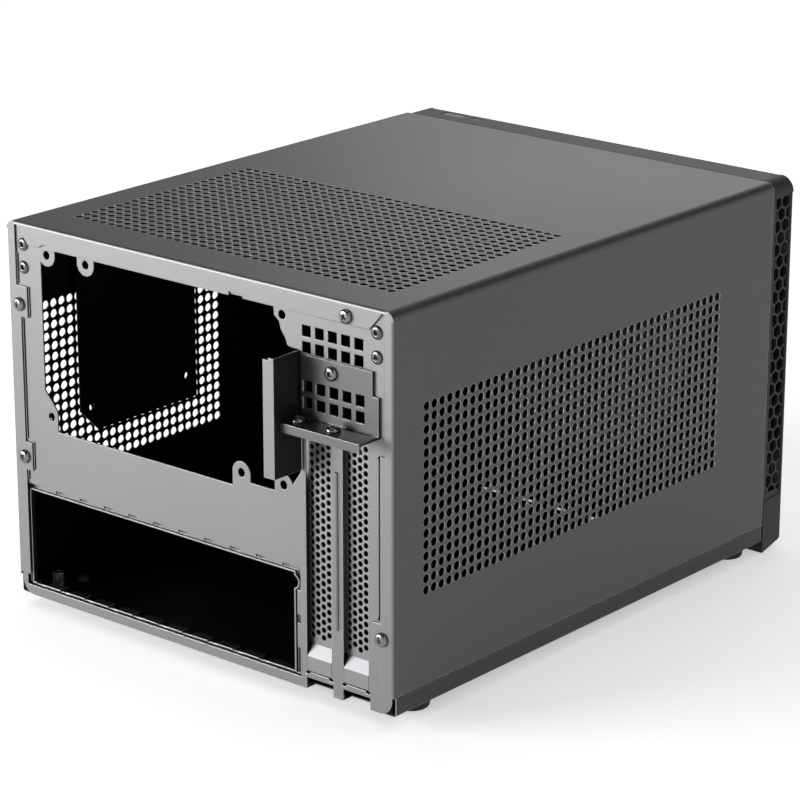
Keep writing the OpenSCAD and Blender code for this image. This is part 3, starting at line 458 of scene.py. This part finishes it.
@dataclass(frozen=True)
class Lens:
    """Clear tinted plastic of a lamp."""

    name: str
    colour: Colour

    def build(self) -> bpy.types.Material:
        """Return the material."""
        s = Shader(self.name)
        haze = s.noise(s.where, 900.0, 3.0)
        colour = s.mix(haze * 0.4, self.colour, (0.9, 0.9, 0.9))
        return s.dress(Base_Color=colour, Roughness=0.10 + haze * 0.12, Transmission_Weight=0.55,
                       IOR=1.49, Normal=s.bump(haze, 0.01 * MM, s.rounded(0.2 * MM)))


@dataclass(frozen=True)
class Weave:
    """A fine filter cloth of round threads with open meshes."""

    name: str
    pitch: float = 0.9 * MM

    def build(self) -> bpy.types.Material:
        """Return the material."""
        s = Shader(self.name)
        x, _, z = s.split(s.where)
        turn = 2 * math.pi / self.pitch
        across = s.node("ShaderNodeMath", {"operation": "SINE"}, {0: x * turn})
        along = s.node("ShaderNodeMath", {"operation": "SINE"}, {0: z * turn})
        thread = across.top(along)
        grain = s.noise(s.where, 5000.0, 2.0)
        return s.dress(Base_Color=s.mix(grain, (0.010, 0.010, 0.010), (0.028, 0.028, 0.028)),
                       Roughness=0.55 + grain * 0.15, Alpha=s.smooth(thread, 0.35, 0.5),
                       Normal=s.bump(thread, 0.15 * MM, s.node("ShaderNodeNewGeometry", {}, {},
                                                               "Normal")))


class Finishes:
    """Every finish of the case, each made once."""

    def __init__(self) -> None:
        """Build all materials."""
        # The cover, panel and pan keep the default rear colour, a painted glare on faces that look
        # backwards.
        self.cover = CoatedSteel("cover_coat", Outside.COVER).build()
        self.panel = CoatedSteel("panel_coat", Outside.PANEL, outer=(0.030, 0.030, 0.031)).build()
        # The pan's outside is darker than the cover's, as painted shade low on the case.
        self.pan = CoatedSteel("pan_coat", Outside.PAN, outer=(0.050, 0.050, 0.051)).build()
        # Wholly inside colour: black paint darkened further as painted shade of the interior.
        self.inside = CoatedSteel("inner_coat", Outside.NONE).build()
        # The clamp's and the rivets' rear colours are painted glare on their faces that look
        # backwards.
        self.clamp = CoatedSteel("clamp_coat", Outside.ALL, outer=(0.035, 0.035, 0.036),
                                 rear=(0.130, 0.130, 0.132), roughness=0.36).build()
        self.rivet = CoatedSteel("rivet_coat", Outside.ALL, outer=(0.060, 0.060, 0.062),
                                 rear=(0.110, 0.110, 0.112), roughness=0.28).build()
        self.slot_cover = PlatedSteel("slot_cover_plate", (0.235, 0.235, 0.243), 0.44).build()
        self.screw = PlatedSteel("screw_nickel", (0.20, 0.20, 0.21), 0.24, (1, 1, 1)).build()
        self.spacer = PlatedSteel("spacer_nickel", (0.52, 0.50, 0.45), 0.26, (1, 1, 1)).build()
        self.shell = PlatedSteel("socket_shell", (0.58, 0.58, 0.60), 0.22, (0.2, 0.02, 1)).build()
        self.gold = PlatedSteel("contact_gold", (0.80, 0.58, 0.22), 0.20, (1, 0.1, 1)).build()
        self.bezel = MouldedPlastic("bezel_plastic", (0.028, 0.028, 0.029), 0.52, gloss=0.28).build()
        self.button = MouldedPlastic("button_plastic", (0.034, 0.034, 0.035), 0.40, gloss=0.34).build()
        self.socket = MouldedPlastic("socket_plastic", (0.016, 0.016, 0.017), 0.38).build()
        self.filter = MouldedPlastic("filter_plastic", (0.020, 0.020, 0.020), 0.55).build()
        self.face = BrushedPlate("face_brushed").build()
        self.rubber = Rubber("foot_rubber").build()
        self.board = CircuitBoard("board_mask").build()
        self.cold_lens = Lens("lens_power", (0.70, 0.80, 0.92)).build()
        self.warm_lens = Lens("lens_drive", (0.92, 0.62, 0.52)).build()
        self.weave = Weave("filter_weave").build()


@dataclass
class Solid:
    """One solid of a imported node, by its lowest and highest corners."""

    low: Vector
    high: Vector

    @property
    def middle(self) -> Vector:
        """Return the centre of the solid's box."""
        return (self.low + self.high) / 2

    @property
    def size(self) -> Vector:
        """Return the size of the solid's box."""
        return self.high - self.low


def solids_of(node: str) -> list[Solid]:
    """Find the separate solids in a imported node.

    Args:
        node: the node's name.

    Returns:
        One box for each solid, in order of x, then y, then z.
    """
    bm = bmesh.new()
    bm.from_mesh(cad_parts[node].data)
    bmesh.ops.remove_doubles(bm, verts=bm.verts, dist=0.02 * MM)
    found, seen = [], set()
    for start in bm.verts:
        if start in seen:
            continue
        group, queue = [], [start]
        seen.add(start)
        while queue:
            vert = queue.pop()
            group.append(vert.co.copy())
            for edge in vert.link_edges:
                other = edge.other_vert(vert)
                if other not in seen:
                    seen.add(other)
                    queue.append(other)
        found.append(Solid(Vector([min(c[i] for c in group) for i in range(3)]),
                           Vector([max(c[i] for c in group) for i in range(3)])))
    bm.free()
    return sorted(found, key=lambda s: tuple(round(c, 4) for c in s.middle))


def towards(place: Vector, axis: Sequence[float], turn: float = 0.0) -> Matrix:
    """Return the transform that sets a piece's origin at place and its +Z along axis.

    Args:
        place: where the piece's origin goes.
        axis: the direction that its +Z takes.
        turn: how far it is turned about its own +Z, in radians.

    Returns:
        The transform.
    """
    aim = Vector(axis).to_track_quat("Z", "Y").to_matrix().to_4x4()
    return Matrix.Translation(place) @ aim @ Matrix.Rotation(turn, 4, "Z")


def lathe(bm: bmesh.types.BMesh, profile: Profile, place: Matrix, steps: int = 48) -> None:
    """Turn a profile about +Z.

    Args:
        bm: the mesh that it is added to.
        profile: radius and height of each ring, from one end to the other.
        place: where the turned body goes.
        steps: how many sides it has.
    """
    rings: list[list[bmesh.types.BMVert]] = []
    for radius, height in profile:
        if radius <= 0:
            rings.append([bm.verts.new(place @ Vector((0, 0, height)))])
        else:
            rings.append([bm.verts.new(place @ Vector((
                radius * math.cos(2 * math.pi * k / steps),
                radius * math.sin(2 * math.pi * k / steps), height))) for k in range(steps)])
    for first, second in zip(rings, rings[1:]):
        for k in range(steps):
            n = (k + 1) % steps
            corners = [first[k % len(first)], first[n % len(first)],
                       second[n % len(second)], second[k % len(second)]]
            unique = list(dict.fromkeys(corners))
            if len(unique) > 2:
                bm.faces.new(unique)


def block(bm: bmesh.types.BMesh, low: Sequence[float], high: Sequence[float],
          soft: float = 0.0) -> None:
    """Add a block with rounded edges.

    Args:
        bm: the mesh that it is added to.
        low: its lowest corner.
        high: its highest corner.
        soft: the radius of its edges.
    """
    low, high = Vector(low), Vector(high)
    made = bmesh.ops.create_cube(bm, size=1.0)["verts"]
    for vert in made:
        vert.co = Vector([(low[i] + high[i]) / 2 + vert.co[i] * (high[i] - low[i])
                          for i in range(3)])
    if soft > 0:
        edges = list({e for v in made for e in v.link_edges})
        bmesh.ops.bevel(bm, geom=edges, offset=soft, segments=3, affect="EDGES", profile=0.5)


def piece(name: str, bm: bmesh.types.BMesh, finish: bpy.types.Material,
          body: str, crease: float = 38.0) -> bpy.types.Object:
    """Turn a mesh into a finished piece that rides on a body.

    Args:
        name: the piece's name.
        bm: its mesh, which is freed.
        finish: its material.
        body: the body that it rides on.
        crease: edges sharper than this many degrees stay sharp.

    Returns:
        The piece.
    """
    bmesh.ops.recalc_face_normals(bm, faces=bm.faces)
    for face in bm.faces:
        face.smooth = True
    for edge in bm.edges:
        edge.smooth = len(edge.link_faces) == 2 and edge.calc_face_angle() < math.radians(crease)
    mesh = bpy.data.meshes.new(name)
    bm.to_mesh(mesh)
    bm.free()
    mesh.materials.append(finish)
    made = bpy.data.objects.new(name, mesh)
    bpy.context.scene.collection.objects.link(made)
    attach(made, body)
    LOG.info("piece %s: %d faces", name, len(mesh.polygons))
    return made


@dataclass
class Screw:
    """A pan head screw with a cross recess and a threaded shank."""

    head_d: float
    head_h: float
    shank_d: float
    recess: float = 0.62
    thread: float = 0.55 * MM

    def profile(self, length: float) -> Profile:
        """Return the rings of a screw whose head's top is at 0.

        Args:
            length: the shank's length under the head.

        Returns:
            Radius and height of each ring.
        """
        r, h = self.head_d / 2, self.head_h
        rings = [(0.0, 0.0), (r * 0.30, -h * 0.01), (r * 0.55, -h * 0.05), (r * 0.76, -h * 0.16),
                 (r * 0.90, -h * 0.34), (r * 0.98, -h * 0.60), (r, -h * 0.82), (r * 0.97, -h)]
        neck = self.shank_d / 2
        rings.append((neck, -h))
        turns = max(2, int(length / self.thread) - 1)
        for i in range(turns):
            z = -h - 0.2 * MM - i * self.thread
            rings += [(neck * 0.84, z), (neck, z - self.thread * 0.5)]
        return rings + [(neck * 0.7, -h - length), (0.0, -h - length)]

    def recess_cutter(self) -> bmesh.types.BMesh:
        """Return the mesh of the cross that is cut into the head."""
        bm = bmesh.new()
        arm, width, deep = self.head_d * 0.27, self.head_d * 0.075, self.head_h * self.recess
        for a in range(2):
            turn = Matrix.Rotation(math.pi / 2 * a, 4, "Z")
            top = [Vector((sx * arm, sy * width, 0.3 * MM)) for sx, sy in
                   ((-1, -1), (1, -1), (1, 1), (-1, 1))]
            foot = [Vector((v.x * 0.45, v.y * 0.8, -deep)) for v in top]
            a_ring = [bm.verts.new(turn @ v) for v in top]
            b_ring = [bm.verts.new(turn @ v) for v in foot]
            bm.faces.new(a_ring)
            bm.faces.new(b_ring[::-1])
            for k in range(4):
                n = (k + 1) % 4
                bm.faces.new([a_ring[k], b_ring[k], b_ring[n], a_ring[n]])
        bmesh.ops.recalc_face_normals(bm, faces=bm.faces)
        return bm

    def mesh(self, length: float) -> bpy.types.Mesh:
        """Return the mesh of one screw, its head's top at the origin and its shank along -Z.

        Args:
            length: the shank's length under the head.

        Returns:
            The mesh.
        """
        body = bmesh.new()
        lathe(body, self.profile(length), Matrix.Identity(4))
        bmesh.ops.recalc_face_normals(body, faces=body.faces)
        pair = []
        for name, bm in (("screw_body", body), ("screw_cross", self.recess_cutter())):
            mesh = bpy.data.meshes.new(name)
            bm.to_mesh(mesh)
            bm.free()
            made = bpy.data.objects.new(name, mesh)
            bpy.context.scene.collection.objects.link(made)
            pair.append(made)
        cut = pair[0].modifiers.new("cross", "BOOLEAN")
        cut.operation, cut.solver, cut.object = "DIFFERENCE", "EXACT", pair[1]
        cut.use_self = True
        depsgraph = bpy.context.evaluated_depsgraph_get()
        result = bpy.data.meshes.new_from_object(pair[0].evaluated_get(depsgraph))
        for made in pair:
            bpy.data.objects.remove(made)
        return result


@dataclass
class Fasteners:
    """All screws and rivets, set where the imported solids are."""

    finishes: Finishes
    turns: tuple[float, ...] = (0.35, 1.1, 0.72, 0.15, 0.9)
    plans: tuple[tuple[str, tuple[float, float, float], float], ...] = (
        ("cover_screws", (0, 1, 0), 2.0 * MM), ("clamp_screws", (0, 0, 0), 2.0 * MM),
        ("brace_screws", (0, 0, -1), 2.0 * MM), ("switch_screws", (0, 0, -1), 1.4 * MM),
        ("io_screws", (0, 1, 0), 1.0 * MM))

    def screws(self) -> None:
        """Make each group of screws."""
        for node, axis, head_h in self.plans:
            bm = bmesh.new()
            for i, solid in enumerate(solids_of(node)):
                aim = Vector(axis)
                if aim.length == 0:
                    aim = Vector((0, 0, 1)) if solid.size.z > solid.size.y else Vector((0, 1, 0))
                axle = max(range(3), key=lambda k: abs(aim[k]))
                side = [k for k in range(3) if k != axle][0]
                top = solid.middle.copy()
                top[axle] = solid.high[axle] if aim[axle] > 0 else solid.low[axle]
                length = solid.size[axle] - head_h
                shank = 3.4 * MM if head_h > 1.5 * MM else 2.1 * MM
                mesh = Screw(solid.size[side], head_h, shank).mesh(length)
                mesh.transform(towards(top, aim, self.turns[i % len(self.turns)]))
                bm.from_mesh(mesh)
                bpy.data.meshes.remove(mesh)
            made = piece(f"{node}_fine", bm, self.finishes.screw, "chassis", 30)
            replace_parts(made, node)

    def rivets(self) -> None:
        """Make the domed rivets of the rear panel and of the front frame."""
        for node, axis in (("rear_rivets", (0, 1, 0)), ("frame_rivets", (0, -1, 0))):
            bm = bmesh.new()
            for solid in solids_of(node):
                r = solid.size.x / 2
                out = solid.high.y if axis[1] > 0 else solid.low.y
                deep = solid.size.y
                bore, neck = 1.0 * MM, 1.6 * MM
                dome = [(bore, -deep), (bore, -0.45 * MM), (bore * 1.25, -0.05 * MM)]
                for k in range(1, 8):
                    a = math.pi / 2 * k / 8
                    dome.append((bore * 1.25 + (r - bore * 1.25) * math.sin(a),
                                 -0.05 * MM - 1.1 * MM * (1 - math.cos(a))))
                dome += [(r, -1.22 * MM), (r * 0.97, -1.3 * MM), (neck, -1.3 * MM), (neck, -deep),
                         (bore, -deep)]
                place = towards(Vector((solid.middle.x, out, solid.middle.z)), axis)
                lathe(bm, dome, place)
                pin = [(0, -1.5 * MM), (bore * 0.8, -1.55 * MM), (bore * 0.98, -1.9 * MM),
                       (bore * 0.98, -deep), (0, -deep)]
                lathe(bm, pin, place, 24)
            made = piece(f"{node}_fine", bm, self.finishes.rivet, "chassis")
            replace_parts(made, node)


@dataclass
class Feet:
    """Turned rubber feet with a softened tread edge and a sunk middle."""

    finishes: Finishes
    edge: float = 1.2 * MM

    def build(self) -> None:
        """Make the four feet in one piece."""
        bm = bmesh.new()
        floor_to_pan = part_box("base_pan")[0].z
        for solid in solids_of("feet"):
            r, h, e = solid.size.x / 2, floor_to_pan, self.edge
            well = r * 0.5
            rings = [(0, 1.0 * MM), (well - 0.3 * MM, 1.0 * MM), (well, 0.7 * MM),
                     (well + 0.1 * MM, 0.25 * MM), (well + 0.5 * MM, 0.0)]
            base = r - 1.0 * MM
            for k in range(7):
                a = math.pi / 2 * k / 6
                rings.append((base - e + e * math.sin(a), e - e * math.cos(a)))
            rings += [(r - 0.25 * MM, h - 0.9 * MM), (r, h - 0.5 * MM), (r, h - 0.25 * MM),
                      (r - 0.3 * MM, h), (2.1 * MM, h), (2.1 * MM, solid.high.z - 2.2 * MM),
                      (3.2 * MM, solid.high.z - 1.8 * MM), (2.9 * MM, solid.high.z - 1.0 * MM),
                      (2.0 * MM, solid.high.z - 0.1 * MM), (0, solid.high.z)]
            lathe(bm, rings, Matrix.Translation((solid.middle.x, solid.middle.y, 0)), 64)
        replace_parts(piece("feet_fine", bm, self.finishes.rubber, "chassis"), "feet")


@dataclass
class FrontPanelParts:
    """Lamps, sockets, contacts and the parts on the two small boards."""

    finishes: Finishes

    def lamps(self) -> None:
        """Make the two lamp lenses with rounded noses."""
        for node, finish in (("power_led", self.finishes.cold_lens),
                             ("drive_led", self.finishes.warm_lens)):
            low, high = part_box(node)
            middle = (low + high) / 2
            nose = 1.5 * MM
            rings = [(0, 0.0)] + [(nose * math.sin(math.pi / 2 * k / 6),
                                   -nose * 0.45 * (1 - math.cos(math.pi / 2 * k / 6)))
                                  for k in range(1, 7)]
            deep = high.y - low.y
            collar = 2.3 * MM
            rings += [(nose, -collar), (2.0 * MM, -collar), (2.0 * MM, -collar - 1.4 * MM),
                      (nose, -collar - 1.4 * MM), (nose, -deep), (0, -deep)]
            bm = bmesh.new()
            lathe(bm, rings, towards(Vector((middle.x, low.y, middle.z)), (0, -1, 0)))
            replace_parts(piece(f"{node}_fine", bm, finish, "chassis"), node)

    def contacts(self) -> None:
        """Make the gilt contacts on the tongue of each socket, and the rings of the jacks."""
        bm = bmesh.new()
        for node in ("usb_port_1", "usb_port_2"):
            low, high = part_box(node)
            middle = (low + high) / 2
            for k in range(4):
                z = middle.z + (k - 1.5) * 2.4 * MM
                block(bm, (middle.x + 0.08 * MM, low.y + 1.6 * MM, z - 0.5 * MM),
                      (middle.x + 0.24 * MM, high.y - 1.4 * MM, z + 0.5 * MM), 0.05 * MM)
        piece("usb_contacts", bm, self.finishes.gold, "chassis")
        bm = bmesh.new()
        for node in ("audio_jack_1", "audio_jack_2"):
            low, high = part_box(node)
            middle = (low + high) / 2
            ring = [(1.85 * MM, -0.3 * MM), (1.85 * MM, 0.08 * MM)]
            for k in range(7):
                a = math.pi * k / 6
                ring.append((2.45 * MM - 0.55 * MM * math.cos(a), 0.1 * MM + 0.35 * MM * math.sin(a)))
            ring += [(3.0 * MM, -0.3 * MM), (1.85 * MM, -0.3 * MM)]
            lathe(bm, ring, towards(Vector((middle.x, low.y, middle.z)), (0, -1, 0)))
        piece("jack_rings", bm, self.finishes.shell, "chassis")

    def board_parts(self) -> None:
        """Make the pin rows and small parts on the two boards."""
        pins, chips = bmesh.new(), bmesh.new()
        low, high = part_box("switch_board")
        floor = low.z
        for k in range(5):
            x = low.x + 9 * MM + k * 2.54 * MM
            block(pins, (x - 0.32 * MM, high.y - 3.2 * MM, floor - 4.6 * MM),
                  (x + 0.32 * MM, high.y - 2.56 * MM, floor + 0.2 * MM), 0.08 * MM)
        block(chips, (low.x + 7.6 * MM, high.y - 4.2 * MM, floor - 2.5 * MM),
              (low.x + 20.6 * MM, high.y - 1.6 * MM, floor + 0.02 * MM), 0.2 * MM)
        low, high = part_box("io_board")
        for k in range(4):
            z = high.z - 16 * MM - k * 9 * MM
            block(chips, (low.x + 3 * MM, high.y - 0.02 * MM, z - 1.0 * MM),
                  (low.x + 5 * MM, high.y + 0.5 * MM, z + 1.0 * MM), 0.1 * MM)
        piece("board_pins", pins, self.finishes.gold, "chassis")
        piece("board_chips", chips, self.finishes.socket, "chassis")

    def build(self) -> None:
        """Make everything on the front."""
        self.lamps()
        self.contacts()
        self.board_parts()


@dataclass
class FilterCloth:
    """The fine cloth stretched in the frame of the dust filter."""

    finishes: Finishes
    rim: float = 4.5 * MM

    def build(self) -> None:
        """Make the cloth as one thin sheet inside the moulded frame."""
        low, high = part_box("dust_filter")
        y = (low.y + high.y) / 2
        bm = bmesh.new()
        corners = [bm.verts.new((x, y, z)) for x, z in (
            (low.x + self.rim, low.z + self.rim), (high.x - self.rim, low.z + self.rim),
            (high.x - self.rim, high.z - self.rim), (low.x + self.rim, high.z - self.rim))]
        bm.faces.new(corners)
        bmesh.ops.subdivide_edges(bm, edges=bm.edges, cuts=24, use_grid_fill=True)
        for vert in bm.verts:
            u = (vert.co.x - low.x) / (high.x - low.x)
            v = (vert.co.z - low.z) / (high.z - low.z)
            vert.co.y += 0.25 * MM * math.sin(math.pi * u) * math.sin(math.pi * v)
        piece("filter_cloth", bm, self.finishes.weave, "chassis")


@dataclass
class Shell:
    """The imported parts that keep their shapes, each with its finish."""

    finishes: Finishes

    def build(self) -> None:
        """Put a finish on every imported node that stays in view."""
        f = self.finishes
        plan: dict[str, bpy.types.Material] = {
            "cover": f.cover, "rear_panel": f.panel, "base_pan": f.pan, "front_frame": f.inside,
            "rail_left": f.inside, "rail_right": f.inside, "cross_brace": f.inside,
            "drive_plate": f.inside, "slot_clamp": f.clamp, "slot_cover_1": f.slot_cover,
            "slot_cover_2": f.slot_cover, "standoffs": f.spacer, "bezel": f.bezel,
            "face_plate": f.face, "dust_filter": f.filter, "power_button": f.button,
            "reset_button": f.button, "switch_board": f.board, "io_board": f.board,
            "usb_port_1": f.shell, "usb_port_2": f.shell, "audio_jack_1": f.socket,
            "audio_jack_2": f.socket}
        for node, finish in plan.items():
            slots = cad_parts[node].material_slots
            for slot in slots:
                slot.material = finish
            LOG.info("node %s: %s", node, finish.name)


@dataclass
class Studio:
    """A pale floor, soft lamps and the camera at the photograph's place."""

    eye: tuple[float, float, float] = (-0.91177, 1.07969, 0.55364)
    ahead: tuple[float, float, float] = (0.61228, -0.72589, -0.31337)
    right: tuple[float, float, float] = (-0.76428, -0.64488, 0.0005)
    focal_px: float = 3265.0
    picture_px: float = 800.0
    sensor_mm: float = 36.0
    ambient: float = 0.22
    fading: tuple[float, float] = (0.10, 0.46)
    overhead_loss: float = 0.93
    floor_reach: float = 6.0
    floor_glow: float = 0.46
    lamps: tuple[tuple[str, tuple[float, float, float], float, float, float], ...] = (
        ("key", (1.30, 1.60, 0.46), 1.3, 0.8, 50.0),
        ("top", (0.2, -0.4, 2.2), 1.6, 1.6, 10.0),
        ("fill", (-1.9, 0.7, 1.6), 1.2, 1.2, 8.0),
        ("front", (0.9, -2.0, 0.9), 1.4, 1.0, 6.0))
    aim: Vector = field(default_factory=lambda: Vector((0, 0, 0.09)))

    def camera(self) -> None:
        """Set up the camera."""
        view = bpy.data.cameras.new("view")
        view.sensor_fit, view.sensor_width = "HORIZONTAL", self.sensor_mm
        view.lens = self.focal_px / self.picture_px * self.sensor_mm
        view.clip_start, view.clip_end = 0.05, 50.0
        made = bpy.data.objects.new("view", view)
        bpy.context.scene.collection.objects.link(made)
        back = -Vector(self.ahead).normalized()
        right = Vector(self.right).normalized()
        up = back.cross(right)
        turn = Matrix((right, up, back)).transposed().to_4x4()
        made.matrix_world = Matrix.Translation(self.eye) @ turn
        bpy.context.scene.camera = made

    def light(self) -> None:
        """Set up the lamps and the pale surroundings."""
        for name, place, width, height, power in self.lamps:
            lamp = bpy.data.lights.new(name, "AREA")
            lamp.shape, lamp.size, lamp.size_y, lamp.energy = "RECTANGLE", width, height, power
            made = bpy.data.objects.new(name, lamp)
            made.matrix_world = towards(Vector(place), Vector(place) - self.aim)
            bpy.context.scene.collection.objects.link(made)
        world = bpy.data.worlds.new("surroundings")
        bpy.context.scene.world = world
        world.use_nodes = True
        tree = Tree(world.node_tree)
        seen = self.seen_share(tree)
        upward = tree.split(tree.node("ShaderNodeTexCoord", {}, {}, "Generated"))[2]
        pale = 1.0 - tree.smooth(upward, *self.fading) * self.overhead_loss
        glow = tree.node("ShaderNodeBackground", {},
                         {"Color": (1.0, 1.0, 1.0),
                          "Strength": self.ambient + seen * (pale - self.ambient)})
        end = tree.nodes.nodes.new("ShaderNodeOutputWorld")
        tree.nodes.links.new(glow.link, end.inputs["Surface"])

    def seen_share(self, tree: Tree) -> Sock:
        """Return 1 for rays that show the surroundings themselves and 0 for their light."""
        rays = tree.node("ShaderNodeLightPath", {}, {}).link.node
        camera, glossy, clear = (Sock(tree, rays.outputs[n]) for n in (
            "Is Camera Ray", "Is Glossy Ray", "Is Transmission Ray"))
        return camera.top(glossy).top(clear)

    def floor(self) -> None:
        """Lay the floor."""
        bm = bmesh.new()
        reach = self.floor_reach
        bm.faces.new([bm.verts.new((x, y, 0)) for x, y in (
            (-reach, -reach), (reach, -reach), (reach, reach), (-reach, reach))])
        mesh = bpy.data.meshes.new("floor")
        bm.to_mesh(mesh)
        bm.free()
        s = Shader("floor_paper")
        seen = self.seen_share(s)
        paper = s.noise(s.where, 700.0, 3.0)
        s.dress(Base_Color=s.mix(paper, (0.86, 0.86, 0.86), (0.90, 0.90, 0.90)), Roughness=0.85,
                Specular_IOR_Level=0.0, Emission_Color=s.mix(seen, (0, 0, 0), (1, 1, 1)),
                Emission_Strength=self.floor_glow)
        mesh.materials.append(s.material)
        made = bpy.data.objects.new("floor", mesh)
        bpy.context.scene.collection.objects.link(made)

    def build(self) -> None:
        """Set up the floor, the light and the camera."""
        bpy.context.scene.view_settings.view_transform = "Standard"
        self.floor()
        self.light()
        self.camera()


def main() -> None:
    """Dress the case and set the scene."""
    logging.basicConfig(level=logging.INFO, format="%(name)s: %(message)s")
    finishes = Finishes()
    Shell(finishes).build()
    fasteners = Fasteners(finishes)
    fasteners.screws()
    fasteners.rivets()
    Feet(finishes).build()
    FrontPanelParts(finishes).build()
    FilterCloth(finishes).build()
    Studio().build()


if __name__ == "__main__":
    main()
